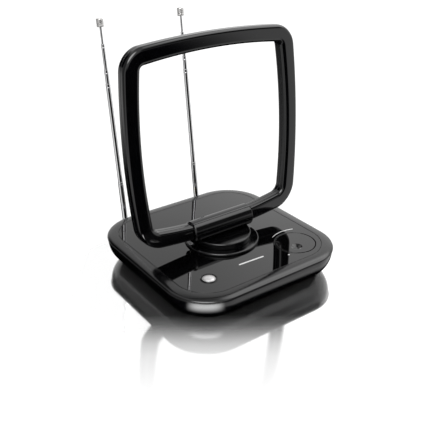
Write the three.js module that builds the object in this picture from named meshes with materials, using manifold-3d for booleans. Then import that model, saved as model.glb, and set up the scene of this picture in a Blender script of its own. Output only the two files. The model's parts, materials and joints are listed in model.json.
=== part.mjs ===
// Indoor television antenna: a square gloss base with a gain knob and a power button, a rounded
// square loop that tilts in a hinge barrel on a swivelling pedestal, and two telescopic rods that
// stand on knuckles behind the base. Millimetres, +Z up, the front of the base faces -Y, and the
// origin is the centre of the underside of the whole object's box.
import * as THREE from "three";
import { mergeVertices } from "three/addons/utils/BufferGeometryUtils.js";
import Module from "manifold-3d";

const wasm = await Module();
wasm.setup();

// ---- Driving dimensions. Heights are above the table, plan positions are from the base's centre.
const GAP = 0.3; // between pieces that rest on or beside each other
const RUNNING = 0.1; // radial clearance of a turning fit
const SLIDING = 0.05; // radial clearance of the telescopic sections

const BASE = {
  half: 90,
  corner: 42.5,
  undersideZ: 2.6,
  floorThickness: 2.4,
  partingZ: 25.5,
  topZ: 28.95,
  rimInset: 11,
  wall: 2.4,
  tubInset: 0.6,
  tubCurl: { in: 18, up: 22 },
  cavityCurl: { in: 16, up: 19.4 },
};
const DECK = { bottomZ: 25.1, topZ: 27.15, skirtBottomZ: 21.9, skirtInset: 3.8, skirtWall: 2 };
const FOOT = { x: 58, y: 57, radius: 7, height: 3.5 };
const CASE_SCREW = { x: 68, y: 30, postRadius: 4, splitZ: 13, shankRadius: 1.35, headRadius: 2.9 };

const SWIVEL = { x: 0, y: -4.4, ringRadius: 35.7, ringTopZ: 31.5, drumRadius: 28, drumTopZ: 37.4 };
const SPINDLE = { radius: 8, bore: 5, bottomZ: 20.4, topZ: 34 };
const HINGE = { y: -1.4, z: 44.4, radius: 10.5, half: 33.7, bevel: 1.2, bore: 9.1, boreHalf: 31.2 };
const HINGE_SPLIT_DEG = 67; // the barrel's parting line, up from the front
const HINGE_BAR = { radius: 4.2, wireHole: 2.6, half: 42 };
const CAP_FLANGE = { half: 13, backY: 16.5, thickness: 2.5, screwX: 8, screwY: 12.6 };

const LOOP = {
  halfWidth: 86,
  halfHeight: 86.2,
  sideBulge: 6,
  topBulge: 5.6,
  bottomBulge: 7.6,
  topCorner: 10,
  bottomCorner: 13,
  tubeHalfWidth: 7,
  tubeHalfDepth: 6.75,
  edgeRound: { in: 3.4, deep: 3.8 },
  cavityHalfWidth: 4.5,
  cavityHalfDepth: 4.5,
  leanDeg: 4.28,
  parting: 0.3,
};

const KNOB = { x: 51.6, y: -52.8, radius: 18.9, topZ: 29.05, bottomZ: 26.5, holeRadius: 19.6 };
const DIMPLE = { fromCentre: 7.5, angleDeg: -123, radius: 4.8, depth: 1.4 };
const BUTTON = { x: -51.4, y: -55.7, radius: 5.9, topZ: 30.7, shoulderZ: 29.9, bottomZ: 24.5 };
const BEZEL = { radius: 7.66, sleeve: 7.2, topZ: 29.75 };

const BOARD_Z = 8;
const BOARD_THICKNESS = 1.6;
const ON_BOARD_Z = BOARD_Z + BOARD_THICKNESS + GAP;

const ROD = { x: 45.3, y: 103.2, z: 9.5, leanDeg: 6.8, facets: 16 };
// Each section's outer and inner radius, and where it starts and ends along the rod from its pivot.
const SECTIONS = [
  { outer: 2.4, inner: 2.15, from: 38.3, to: 150.2 },
  { outer: 2.1, inner: 1.8, from: 63.7, to: 163.7 },
  { outer: 1.75, inner: 1.15, from: 90, to: 188.2 },
  { outer: 1.1, inner: 0, from: 105, to: 208.7 },
];
const FERRULE = { outer: 2.7, from: 4.6, seat: 38, to: 49.2 };
const TIP = { radius: 3.5, from: 204, to: 211.9 };
const SOCKET = { radius: 5.2, collarRadius: 6.3, bore: 4.1, frontY: 78, collarY: 88.4, backY: 96.3 };

// ---- Materials
const finish = (color, roughness, metalness = 0) =>
  new THREE.MeshStandardMaterial({ color, roughness, metalness });
const glossBlack = finish(0x0a0a0c, 0.06);
const satinBlack = finish(0x121214, 0.4);
const rubber = finish(0x161616, 0.85);
const steel = finish(0x8c8f93, 0.35, 1);
const chrome = finish(0xd8dade, 0.08, 1);
const brass = finish(0xb99a52, 0.25, 1);
const tinPlate = finish(0xb4b8bb, 0.3, 1);
const boardGreen = finish(0x1f5a35, 0.5);
const silverPaint = finish(0xa9abad, 0.3, 0.4);
const nylon = finish(0xd9d6cc, 0.5);

// ---- Solids
// A closed three.js geometry as a solid that can be joined and cut.
function solid(geometry) {
  const bare = geometry.clone();
  bare.deleteAttribute("normal");
  bare.deleteAttribute("uv");
  const merged = mergeVertices(bare, 1e-4);
  const index = Array.from(merged.index.array);
  const faces = [];
  for (let i = 0; i < index.length; i += 3) {
    const [a, b, c] = index.slice(i, i + 3);
    if (a !== b && b !== c && c !== a) faces.push(a, b, c);
  }
  const mesh = new wasm.Mesh({
    numProp: 3,
    vertProperties: new Float32Array(merged.attributes.position.array),
    triVerts: new Uint32Array(faces),
  });
  return new wasm.Manifold(mesh);
}

// A solid turned back into a three.js geometry with flat faces.
function geometryOf(shape) {
  const mesh = shape.getMesh();
  const indexed = new THREE.BufferGeometry()
    .setAttribute("position", new THREE.BufferAttribute(mesh.vertProperties, 3))
    .setIndex(new THREE.BufferAttribute(mesh.triVerts, 1));
  const flat = indexed.toNonIndexed();
  flat.computeVertexNormals();
  return flat;
}

function piece(name, shape, material) {
  const mesh = new THREE.Mesh(geometryOf(shape), material);
  mesh.name = name;
  return mesh;
}

const joined = (...shapes) => shapes.reduce((whole, shape) => whole.add(shape));
const minus = (shape, ...cuts) => cuts.reduce((rest, cut) => rest.subtract(cut), shape);

function box(minX, maxX, minY, maxY, minZ, maxZ) {
  const geometry = new THREE.BoxGeometry(maxX - minX, maxY - minY, maxZ - minZ);
  geometry.translate((minX + maxX) / 2, (minY + maxY) / 2, (minZ + maxZ) / 2);
  return solid(geometry);
}

// A profile of [radius, height] points turned about Z. It starts and ends on the axis, or closes.
function turned(profile, facets = 32, x = 0, y = 0) {
  const points = profile.map(([radius, height]) => new THREE.Vector2(radius, height));
  if (THREE.ShapeUtils.area(points) < 0) points.reverse();
  if (points[0].x !== 0 || points[points.length - 1].x !== 0) points.push(points[0].clone());
  const geometry = new THREE.LatheGeometry(points, facets);
  geometry.rotateX(Math.PI / 2);
  geometry.translate(x, y, 0);
  return solid(geometry);
}

const disc = (radius, bottom, top, x = 0, y = 0, facets = 32) =>
  turned([[0, bottom], [radius, bottom], [radius, top], [0, top]], facets, x, y);
const tube = (outer, inner, bottom, top, x = 0, y = 0, facets = 32) =>
  turned([[inner, bottom], [outer, bottom], [outer, top], [inner, top]], facets, x, y);

// Shapes made along Z, laid along another axis through a point.
const alongX = (shape, x, y, z) => shape.rotate([0, 90, 0]).translate([x, y, z]);
const alongY = (shape, x, y, z) => shape.rotate([-90, 0, 0]).translate([x, y, z]);

// A square with round corners, pulled in from the base's outline.
function baseOutline(inset) {
  const half = BASE.half - inset;
  const corner = BASE.corner - inset;
  const centre = half - corner;
  const quarter = Math.PI / 2;
  const shape = new THREE.Shape();
  shape.absarc(centre, centre, corner, 0, quarter);
  shape.absarc(-centre, centre, corner, quarter, 2 * quarter);
  shape.absarc(-centre, -centre, corner, 2 * quarter, 3 * quarter);
  shape.absarc(centre, -centre, corner, 3 * quarter, 4 * quarter);
  return shape;
}

function prism(shape, bottom, top, curveSegments = 5) {
  const options = { depth: top - bottom, bevelEnabled: false, curveSegments };
  const geometry = new THREE.ExtrudeGeometry(shape, options);
  geometry.translate(0, 0, bottom);
  return solid(geometry);
}

// A prism whose two ends curve in by a quarter ellipse, "inward" wide and "along" high.
function pillow(shape, bottom, top, inward, along, steps, curveSegments = 5) {
  const geometry = new THREE.ExtrudeGeometry(shape, {
    depth: top - bottom - 2 * along,
    bevelThickness: along,
    bevelSize: inward,
    bevelOffset: -inward,
    bevelSegments: steps,
    curveSegments,
  });
  geometry.translate(0, 0, bottom + along);
  return solid(geometry);
}

const REACH = 400; // further than any part of the object
const below = (z) => box(-REACH, REACH, -REACH, REACH, -REACH, z);
const above = (z) => box(-REACH, REACH, -REACH, REACH, z, REACH);

const SIGNS = [-1, 1];
const fourCorners = SIGNS.flatMap((front) => SIGNS.map((side) => [side, front]));
const cornerName = ([side, front]) =>
  (front < 0 ? "front" : "rear") + "_" + (side < 0 ? "left" : "right");
const sideName = (side) => (side < 0 ? "left" : "right");

// ---- Base
const boardPosts = [
  [-54, -48], [54, -68], [-30, -66], [22, -44], [-30, 48], [30, 48], [-30, 72], [30, 72],
];
const COAX = { x: 14, z: 15.5, radius: 4.8 };
const JACK = { x: -14, z: 15.2, nose: 4.2, bore: 3.1, pin: 1 };

function lowerTub() {
  const floorTop = BASE.undersideZ + BASE.floorThickness;
  const { tubInset: inset, tubCurl: curl, cavityCurl: hollow } = BASE;
  const pastTheTop = 60; // the far ends curl in too, well above the cut at the parting line
  const outer = pillow(baseOutline(inset), BASE.undersideZ, pastTheTop, curl.in, curl.up, 7);
  const cavity = pillow(
    baseOutline(inset + BASE.wall), floorTop, pastTheTop, hollow.in, hollow.up, 6,
  );
  const columns = fourCorners.map(([side, front]) =>
    disc(CASE_SCREW.postRadius, floorTop - 1, CASE_SCREW.splitZ,
      side * CASE_SCREW.x, front * CASE_SCREW.y, 16),
  );
  const supports = boardPosts.map(([x, y]) =>
    disc(2.2, floorTop - 1, BOARD_Z - GAP, x, y, 12),
  );
  const screwHoles = fourCorners.flatMap(([side, front]) => [
    disc(1.7, 0, 20, side * CASE_SCREW.x, front * CASE_SCREW.y, 16),
    disc(3.3, 0, 6, side * CASE_SCREW.x, front * CASE_SCREW.y, 16),
  ]);
  const footRecesses = fourCorners.map(([side, front]) =>
    disc(FOOT.radius + GAP, 0, FOOT.height + GAP, side * FOOT.x, front * FOOT.y, 32),
  );
  const rearHoles = [
    ...SIGNS.map((side) =>
      alongY(disc(SOCKET.radius + GAP, 0, 30, 0, 0, 32), side * ROD.x, 70, ROD.z)),
    alongY(disc(COAX.radius + GAP, 0, 30, 0, 0, 32), COAX.x, 75, COAX.z),
    alongY(disc(JACK.nose + GAP, 0, 30, 0, 0, 24), JACK.x, 75, JACK.z),
  ];
  const shell = outer.intersect(below(BASE.partingZ - GAP)).subtract(cavity);
  return minus(joined(shell, ...columns, ...supports), ...screwHoles, ...footRecesses, ...rearHoles);
}

function upperHousing() {
  const rimHeight = BASE.topZ - BASE.partingZ;
  const twoCurls = pillow(
    baseOutline(0), BASE.partingZ - rimHeight - GAP, BASE.topZ, BASE.rimInset, rimHeight, 4,
  );
  const rim = twoCurls.intersect(above(BASE.partingZ));
  const skirt = prism(baseOutline(DECK.skirtInset), DECK.skirtBottomZ, BASE.partingZ + 0.5);
  const posts = fourCorners.map(([side, front]) =>
    disc(CASE_SCREW.postRadius, CASE_SCREW.splitZ + GAP, DECK.bottomZ + 0.5,
      side * CASE_SCREW.x, front * CASE_SCREW.y, 16),
  );
  const pilots = fourCorners.map(([side, front]) =>
    disc(CASE_SCREW.shankRadius + 0.15, 12, 21, side * CASE_SCREW.x, front * CASE_SCREW.y, 16),
  );
  const hollow = prism(
    baseOutline(DECK.skirtInset + DECK.skirtWall), DECK.skirtBottomZ - 1, DECK.bottomZ,
  );
  const recess = prism(baseOutline(BASE.rimInset), DECK.topZ, BASE.topZ + 5);
  const collar = disc(12, 22.6, DECK.bottomZ + 0.5, SWIVEL.x, SWIVEL.y);
  const shell = minus(joined(rim, skirt), hollow, recess);
  return minus(joined(shell, collar, ...posts), ...pilots, ...deckHoles(20, 30));
}

// The openings that the swivel, the knob and the button need in the deck and in the plate on it.
const deckHoles = (bottom, top) => [
  disc(SPINDLE.radius + 1, bottom, top, SWIVEL.x, SWIVEL.y),
  disc(KNOB.holeRadius, bottom, top, KNOB.x, KNOB.y, 48),
  disc(BEZEL.sleeve + GAP, bottom, top, BUTTON.x, BUTTON.y, 32),
];

function topPlate() {
  const plate = prism(baseOutline(BASE.rimInset + GAP), DECK.topZ + GAP, BASE.topZ);
  return minus(plate, ...deckHoles(20, 30));
}

function swivelRing() {
  const bore = SPINDLE.radius + RUNNING;
  const bottom = BASE.topZ + GAP;
  const { ringRadius: radius, ringTopZ: top } = SWIVEL;
  const profile = [
    [bore, bottom], [radius, bottom], [radius, top - 1.4], [radius - 0.9, top - 0.55],
    [radius - 3.2, top], [bore, top],
  ];
  return turned(profile, 48, SWIVEL.x, SWIVEL.y);
}

const foot = ([side, front]) =>
  turned(
    [[0, 0], [FOOT.radius - 0.7, 0], [FOOT.radius, 0.8], [FOOT.radius, FOOT.height], [0, FOOT.height]],
    32, side * FOOT.x, front * FOOT.y,
  );

const caseScrew = ([side, front]) => {
  const { shankRadius: shank, headRadius: head, x, y } = CASE_SCREW;
  const profile = [[0, 3.6], [head, 3.6], [head, 5.7], [shank, 5.7], [shank, 20], [0, 20.8]];
  return turned(profile, 20, side * x, front * y);
};

const boardTop = BOARD_Z + BOARD_THICKNESS;
const controlBoard = () => box(-62, 62, -72, -40, BOARD_Z, boardTop);
const amplifierBoard = () => box(-36, 36, 44, 77, BOARD_Z, boardTop);
const ballastPlate = () => box(-50, 50, -30, 30, 5.3, 8.3);

function shieldCan() {
  const outer = box(-17, 17, 48, 64, ON_BOARD_Z, 17.5);
  return outer.subtract(box(-16.4, 16.4, 48.6, 63.4, ON_BOARD_Z - 1, 16.9));
}

function coaxSocket() {
  const body = box(COAX.x - 6, COAX.x + 6, 67, 77, ON_BOARD_Z, 21);
  const barrel = alongY(disc(COAX.radius, 0, 20, 0, 0, 32), COAX.x, 76.5, COAX.z);
  const contactHole = alongY(disc(0.8, 0, 8, 0, 0, 12), COAX.x, 90, COAX.z);
  return joined(body, barrel).subtract(contactHole);
}

function powerInlet() {
  const body = box(JACK.x - 4.5, JACK.x + 4.5, 68, 81, ON_BOARD_Z, 20.5);
  const nose = alongY(disc(JACK.nose, 0, 7.5, 0, 0, 24), JACK.x, 80.5, JACK.z);
  const bore = alongY(disc(JACK.bore, 0, 13, 0, 0, 24), JACK.x, 76, JACK.z);
  const pin = alongY(disc(JACK.pin, 0, 11.5, 0, 0, 16), JACK.x, 75.5, JACK.z);
  return joined(body, nose).subtract(bore).add(pin);
}

const POT_SHAFT_RADIUS = 2.8;
const SHAFT_CLEARANCE = 0.15;
function potentiometer() {
  const body = box(KNOB.x - 8, KNOB.x + 8, KNOB.y - 8, KNOB.y + 8, ON_BOARD_Z, 16);
  const bush = disc(4.2, 15, 18.6, KNOB.x, KNOB.y, 32);
  const shaftHole = disc(POT_SHAFT_RADIUS + SHAFT_CLEARANCE, 12, 20, KNOB.x, KNOB.y, 32);
  return joined(body, bush).subtract(shaftHole);
}

function powerSwitch() {
  const body = box(BUTTON.x - 4.3, BUTTON.x + 4.3, BUTTON.y - 4.3, BUTTON.y + 4.3, ON_BOARD_Z, 18.2);
  return body.subtract(disc(1.9, 13, 20, BUTTON.x, BUTTON.y, 20));
}

function buttonBezel() {
  const bore = BUTTON.radius + 0.25;
  const flange = BASE.topZ + 0.25;
  const profile = [
    [bore, 24], [BEZEL.sleeve, 24], [BEZEL.sleeve, flange], [BEZEL.radius, flange],
    [BEZEL.radius, flange + 0.25], [BEZEL.radius - 0.4, BEZEL.topZ], [bore, BEZEL.topZ],
  ];
  return turned(profile, 32, BUTTON.x, BUTTON.y);
}

function rodSocket(side) {
  const length = SOCKET.backY - SOCKET.frontY;
  const collar = SOCKET.collarY - SOCKET.frontY;
  const profile = [
    [SOCKET.bore, 0], [SOCKET.radius, 0], [SOCKET.radius, collar], [SOCKET.collarRadius, collar],
    [SOCKET.collarRadius, length - 1], [SOCKET.collarRadius - 0.7, length], [SOCKET.bore, length],
  ];
  return alongY(turned(profile), side * ROD.x, SOCKET.frontY, ROD.z);
}

function buildBase() {
  const base = new THREE.Group();
  base.add(
    piece("lower_tub", lowerTub(), glossBlack),
    piece("upper_housing", upperHousing(), glossBlack),
    piece("top_plate", topPlate(), glossBlack),
    piece("swivel_ring", swivelRing(), glossBlack),
    piece("ballast_plate", ballastPlate(), steel),
    piece("control_board", controlBoard(), boardGreen),
    piece("amplifier_board", amplifierBoard(), boardGreen),
    piece("shield_can", shieldCan(), tinPlate),
    piece("coax_socket", coaxSocket(), brass),
    piece("power_inlet", powerInlet(), satinBlack),
    piece("gain_potentiometer", potentiometer(), satinBlack),
    piece("power_switch", powerSwitch(), satinBlack),
    piece("button_bezel", buttonBezel(), glossBlack),
  );
  for (const corner of fourCorners) {
    base.add(piece("foot_" + cornerName(corner), foot(corner), rubber));
    base.add(piece("case_screw_" + cornerName(corner), caseScrew(corner), steel));
  }
  for (const side of SIGNS)
    base.add(piece("rod_socket_" + sideName(side), rodSocket(side), satinBlack));
  return base;
}

// ---- Pedestal that swivels, with the hinge barrel
function barrel() {
  const { radius, half, bevel } = HINGE;
  const profile = [
    [0, -half], [radius - bevel, -half], [radius, -half + bevel],
    [radius, half - bevel], [radius - bevel, half], [0, half],
  ];
  return alongX(turned(profile, 36), 0, HINGE.y, HINGE.z);
}

const barrelHollow = () =>
  joined(
    alongX(disc(HINGE.bore, -HINGE.boreHalf, HINGE.boreHalf), 0, HINGE.y, HINGE.z),
    alongX(disc(HINGE_BAR.radius + 0.4, -50, 50), 0, HINGE.y, HINGE.z),
  );

// The rear and top side of the barrel, that the cap covers, grown by a margin for its gap.
function capZone(margin) {
  const split = THREE.MathUtils.degToRad(HINGE_SPLIT_DEG);
  const reach = 20;
  const ledge = SWIVEL.drumTopZ + GAP - HINGE.z - margin;
  const shape = new THREE.Shape([
    new THREE.Vector2(-margin, ledge),
    new THREE.Vector2(reach, ledge),
    new THREE.Vector2(reach, reach),
    new THREE.Vector2(-reach * Math.cos(split) - margin, reach * Math.sin(split)),
    new THREE.Vector2(-margin, 0),
  ]);
  const geometry = new THREE.ExtrudeGeometry(shape, { depth: 100, bevelEnabled: false });
  geometry.translate(0, 0, -50);
  // The outline's x is the object's y and its y is the object's z.
  geometry.applyMatrix4(new THREE.Matrix4().set(0, 0, 1, 0, 1, 0, 0, 0, 0, 1, 0, 0, 0, 0, 0, 1));
  return solid(geometry).translate([0, HINGE.y, HINGE.z]);
}

function turntable() {
  const { drumRadius: radius, drumTopZ: top, ringTopZ } = SWIVEL;
  const bottom = ringTopZ + GAP;
  const profile = [
    [0, bottom], [radius, bottom], [radius, top - 1.2], [radius - 0.5, top - 0.4],
    [radius - 1.4, top], [0, top],
  ];
  const drum = turned(profile, 48, SWIVEL.x, SWIVEL.y);
  const spindleSeat = disc(SPINDLE.radius + GAP, 30, SPINDLE.topZ + GAP, SWIVEL.x, SWIVEL.y);
  const wireHole = disc(2.5, 30, 40, SWIVEL.x, SWIVEL.y, 20);
  const screwHoles = SIGNS.map((side) =>
    disc(1.45, 32.8, 40, side * CAP_FLANGE.screwX, CAP_FLANGE.screwY, 20),
  );
  return minus(
    joined(drum, barrel()), capZone(GAP), barrelHollow(), spindleSeat, wireHole, ...screwHoles,
  );
}

function hingeCap() {
  const bottom = SWIVEL.drumTopZ + GAP;
  const { half, backY, thickness, screwX, screwY } = CAP_FLANGE;
  const flange = box(-half, half, HINGE.y + 3, backY, bottom, bottom + thickness);
  const screwHoles = SIGNS.map((side) => disc(1.5, 30, 50, side * screwX, screwY, 20));
  return minus(barrel().intersect(capZone(0)).add(flange), barrelHollow(), ...screwHoles);
}

const capScrew = (side) => {
  const seat = SWIVEL.drumTopZ + GAP + CAP_FLANGE.thickness + GAP;
  const profile = [[0, 33.4], [1.2, 34], [1.2, seat], [2.5, seat], [2.2, seat + 1.6], [0, seat + 1.8]];
  return turned(profile, 20, side * CAP_FLANGE.screwX, CAP_FLANGE.screwY);
};

const frictionBush = (side) =>
  alongX(tube(HINGE.bore - 0.2, HINGE_BAR.radius + RUNNING, 2, 30.8), 0, 0, 0)
    .scale([side, 1, 1])
    .translate([0, HINGE.y, HINGE.z]);

function retainingNut() {
  const { x, y } = SWIVEL;
  const hexagon = disc(12, SPINDLE.bottomZ, 21.8, x, y, 6);
  return hexagon.subtract(disc(SPINDLE.radius + GAP, 19, 23, x, y));
}

function buildPedestal() {
  const pedestal = new THREE.Group();
  const { x, y } = SWIVEL;
  const { radius, bore, bottomZ, topZ } = SPINDLE;
  pedestal.add(
    piece("turntable", turntable(), glossBlack),
    piece("hinge_cap", hingeCap(), glossBlack),
    piece("swivel_spindle", tube(radius, bore, bottomZ, topZ, x, y), satinBlack),
    piece("friction_washer", tube(11.6, radius + GAP, 22.1, 22.4, x, y), steel),
    piece("retaining_nut", retainingNut(), nylon),
  );
  for (const side of SIGNS) {
    pedestal.add(piece("cap_screw_" + sideName(side), capScrew(side), steel));
    pedestal.add(piece("friction_bush_" + sideName(side), frictionBush(side), nylon));
  }
  return pedestal;
}

// ---- Loop
// Its outline at a distance from the tube's centre line: four sides that bow out as parabolas and
// four round corners, each an arc whose centre follows the bowed sides.
function loopOutline(offset) {
  const a = LOOP.halfWidth + offset;
  const b = LOOP.halfHeight + offset;
  const sideSteps = 4;
  const cornerSteps = 4;
  // The point that stands dx and dy in from where the two bowed sides would meet.
  const bowed = (dx, dy, endBulge) => {
    let [x, y] = [a, b];
    for (let round = 0; round < 8; round += 1) {
      const nextX = a - LOOP.sideBulge * (y / b) ** 2 + dx;
      y = b - endBulge * (x / a) ** 2 + dy;
      x = nextX;
    }
    return new THREE.Vector2(x, y);
  };
  // From the middle of the right side round one corner to the middle of the top or bottom.
  const quadrant = (corner, endBulge) => {
    const radius = corner + offset;
    const points = [];
    const sideEnd = bowed(0, -radius, endBulge).y;
    for (let i = 0; i < sideSteps; i += 1) {
      const y = (sideEnd * i) / sideSteps;
      points.push(new THREE.Vector2(a - LOOP.sideBulge * (y / b) ** 2, y));
    }
    for (let i = 0; i <= cornerSteps; i += 1) {
      const turn = (Math.PI / 2) * (i / cornerSteps);
      points.push(bowed(radius * (Math.cos(turn) - 1), radius * (Math.sin(turn) - 1), endBulge));
    }
    const endStart = bowed(-radius, 0, endBulge).x;
    for (let i = 1; i < sideSteps; i += 1) {
      const x = endStart * (1 - i / sideSteps);
      points.push(new THREE.Vector2(x, b - endBulge * (x / a) ** 2));
    }
    points.push(new THREE.Vector2(0, b));
    return points;
  };
  const top = quadrant(LOOP.topCorner, LOOP.topBulge);
  const bottom = quadrant(LOOP.bottomCorner, LOOP.bottomBulge);
  const flip = (points, x, y) => points.map((p) => new THREE.Vector2(x * p.x, y * p.y));
  return [
    ...top,
    ...flip(top, -1, 1).reverse().slice(1),
    ...flip(bottom, -1, -1).slice(1),
    ...flip(bottom, 1, -1).reverse().slice(1, -1),
  ].map((p) => new THREE.Vector2(p.x, p.y + LOOP.halfHeight));
}

// A ring about the loop's centre line, in the loop's own frame: hinge axis along X at the origin,
// Z up the loop and Y through it.
function loopRing(halfWidth, halfDepth, round) {
  const shape = new THREE.Shape(loopOutline(halfWidth));
  shape.holes.push(new THREE.Path(loopOutline(-halfWidth)));
  const ring = round
    ? pillow(shape, -halfDepth, halfDepth, round.in, round.deep, 3)
    : prism(shape, -halfDepth, halfDepth);
  return ring.rotate([90, 0, 0]);
}

const bottomMiddle = (half) => box(-half, half, -20, 20, -20, 30);
const ARM_END = HINGE.half + 0.4;

function loopShell(side) {
  const { tubeHalfWidth, tubeHalfDepth, edgeRound, cavityHalfWidth, cavityHalfDepth } = LOOP;
  const ring = loopRing(tubeHalfWidth, tubeHalfDepth, edgeRound);
  const cavity = loopRing(cavityHalfWidth, cavityHalfDepth).subtract(bottomMiddle(46));
  const barHole = alongX(disc(HINGE_BAR.radius + GAP, -HINGE_BAR.half - GAP, HINGE_BAR.half + GAP), 0, 0, 0);
  const [near, far] = side < 0 ? [-20, -LOOP.parting / 2] : [LOOP.parting / 2, 20];
  const half = box(-200, 200, near, far, -50, 300);
  return minus(ring.intersect(half), cavity, barHole, bottomMiddle(ARM_END));
}

const loopElement = () => loopRing(LOOP.cavityHalfWidth - GAP, 0.4).subtract(bottomMiddle(48));
const hingeBar = () =>
  alongX(tube(HINGE_BAR.radius, HINGE_BAR.wireHole, -HINGE_BAR.half, HINGE_BAR.half), 0, 0, 0);

function buildLoop() {
  const loop = new THREE.Group();
  loop.position.set(0, HINGE.y, HINGE.z);
  loop.rotation.x = -THREE.MathUtils.degToRad(LOOP.leanDeg);
  loop.add(
    piece("loop_front_shell", loopShell(-1), glossBlack),
    piece("loop_rear_shell", loopShell(1), glossBlack),
    piece("loop_element", loopElement(), brass),
    piece("hinge_bar", hingeBar(), steel),
  );
  return loop;
}

// ---- Knob and button
function gainKnob() {
  const { x, y, radius, bottomZ, topZ } = KNOB;
  const face = turned(
    [[0, bottomZ], [radius, bottomZ], [radius, topZ - 0.45], [radius - 0.4, topZ], [0, topZ]],
    48, x, y,
  );
  const hub = disc(4.6, 19.4, bottomZ + 0.5, x, y, 32);
  const shaftHole = disc(POT_SHAFT_RADIUS + SHAFT_CLEARANCE, 18, 25, x, y, 32);
  const angle = THREE.MathUtils.degToRad(DIMPLE.angleDeg);
  const ball = (DIMPLE.radius ** 2 + DIMPLE.depth ** 2) / (2 * DIMPLE.depth);
  const sphere = new THREE.SphereGeometry(ball, 32, 32);
  sphere.translate(
    x + DIMPLE.fromCentre * Math.cos(angle),
    y + DIMPLE.fromCentre * Math.sin(angle),
    topZ + ball - DIMPLE.depth,
  );
  return minus(joined(face, hub), shaftHole, solid(sphere));
}

function powerButton() {
  const { x, y, radius, bottomZ, shoulderZ, topZ } = BUTTON;
  const profile = [
    [0, 17], [1.5, 17], [1.5, bottomZ], [radius, bottomZ], [radius, shoulderZ],
    [radius - 0.5, shoulderZ + 0.35], [radius - 2, topZ - 0.12], [0, topZ],
  ];
  return turned(profile, 32, x, y);
}

function buildControls() {
  const controls = new THREE.Group();
  controls.add(
    piece("gain_knob", gainKnob(), glossBlack),
    piece("pot_shaft", disc(POT_SHAFT_RADIUS, 12.4, 24.7, KNOB.x, KNOB.y, 32), brass),
    piece("power_button", powerButton(), silverPaint),
  );
  return controls;
}

// ---- Rods. Each group's origin is the crossing of its two pivots.
const KNUCKLE = { earInner: 1.9, earOuter: 4.2, earRadius: 4.1, flangeRadius: 6, pinHole: 1.3 };

function knuckle() {
  const { earInner, earOuter, earRadius, flangeRadius, pinHole } = KNUCKLE;
  const flangeFront = SOCKET.backY + GAP - ROD.y;
  const flangeBack = flangeFront + 2;
  const spigotFront = SOCKET.frontY + 2 - ROD.y;
  const spigot = alongY(disc(SOCKET.bore - RUNNING, spigotFront, flangeFront + 1), 0, 0, 0);
  const flange = alongY(disc(flangeRadius, flangeFront, flangeBack, 0, 0, 40), 0, 0, 0);
  const ears = SIGNS.flatMap((side) => {
    const [low, high] = side < 0 ? [-earOuter, -earInner] : [earInner, earOuter];
    return [
      alongX(disc(earRadius, low, high, 0, 0, 32), 0, 0, 0),
      box(low, high, flangeBack - 0.5, 0, -earRadius + 0.4, earRadius - 0.4),
    ];
  });
  const hole = alongX(disc(pinHole, -10, 10, 0, 0, 24), 0, 0, 0);
  return minus(joined(spigot, flange, ...ears), hole);
}

const pivotPin = () => alongX(disc(KNUCKLE.pinHole - RUNNING, -4.5, 4.5, 0, 0, 24), 0, 0, 0);

function ferrule() {
  const { outer, from, seat, to } = FERRULE;
  const tongueHalf = 1.6;
  const tongue = joined(
    alongX(disc(3.4, -tongueHalf, tongueHalf, 0, 0, 32), 0, 0, 0),
    box(-tongueHalf, tongueHalf, -2.1, 2.1, 0, from + 1),
  );
  const sleeve = turned(
    [[0, from], [outer - 0.5, from], [outer, from + 0.8], [outer, to - 0.3], [outer - 0.2, to], [0, to]],
    ROD.facets,
  );
  const bore = disc(SECTIONS[0].outer + SLIDING, seat, to + 5, 0, 0, ROD.facets);
  const hole = alongX(disc(KNUCKLE.pinHole, -10, 10, 0, 0, 24), 0, 0, 0);
  return minus(joined(tongue, sleeve), bore, hole);
}

function rodSection({ outer, inner, from, to }) {
  if (inner > 0) return tube(outer, inner, from, to, 0, 0, ROD.facets);
  return disc(outer, from, to, 0, 0, ROD.facets);
}

function tipCap() {
  const { radius, from, to } = TIP;
  const whip = SECTIONS[SECTIONS.length - 1];
  const profile = [
    [0, from], [radius - 0.8, from], [radius, from + 0.8], [radius, to - 1.6],
    [radius - 0.8, to - 0.5], [radius - 2, to], [0, to],
  ];
  return turned(profile, 24).subtract(disc(whip.outer + 0.1, from - 1, whip.to + GAP, 0, 0, ROD.facets));
}

function buildRod(side) {
  const name = "rod_" + sideName(side) + "_";
  const stand = new THREE.Group();
  stand.position.set(side * ROD.x, ROD.y, ROD.z);
  stand.add(piece(name + "knuckle", knuckle(), satinBlack));
  stand.add(piece(name + "pivot_pin", pivotPin(), steel));
  const rod = new THREE.Group();
  rod.rotation.x = -THREE.MathUtils.degToRad(ROD.leanDeg);
  rod.add(piece(name + "ferrule", ferrule(), chrome));
  SECTIONS.forEach((section, i) => {
    rod.add(piece(name + "section_" + (i + 1), rodSection(section), chrome));
  });
  rod.add(piece(name + "tip_cap", tipCap(), chrome));
  stand.add(rod);
  return stand;
}

// ---- Assembly
const assembly = new THREE.Group();
assembly.add(buildBase(), buildPedestal(), buildLoop(), buildControls());
for (const side of SIGNS) assembly.add(buildRod(side));
assembly.updateMatrixWorld(true);

// The box's middle is put over the origin. The rods lean back, so it lies behind the base's centre.
const bounds = new THREE.Box3().setFromObject(assembly, true);
assembly.position.set(0, -(bounds.min.y + bounds.max.y) / 2, -bounds.min.z);

const antenna = new THREE.Group();
antenna.add(assembly);
export default antenna;
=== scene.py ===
"""An indoor television antenna: a gloss black loop on a swivelling pedestal, two telescopic rods and a
square base with a gain knob and a power button.

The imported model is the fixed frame. Every visible piece is worked out again as a fine surface, in
millimetres from the middle of the base, and rides on the body of the piece that it stands for. The
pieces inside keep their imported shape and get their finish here.
"""
from __future__ import annotations

import json
import logging
import math
from collections.abc import Callable, Iterable, Sequence
from dataclasses import dataclass, field
from enum import Enum
from functools import lru_cache

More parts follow.
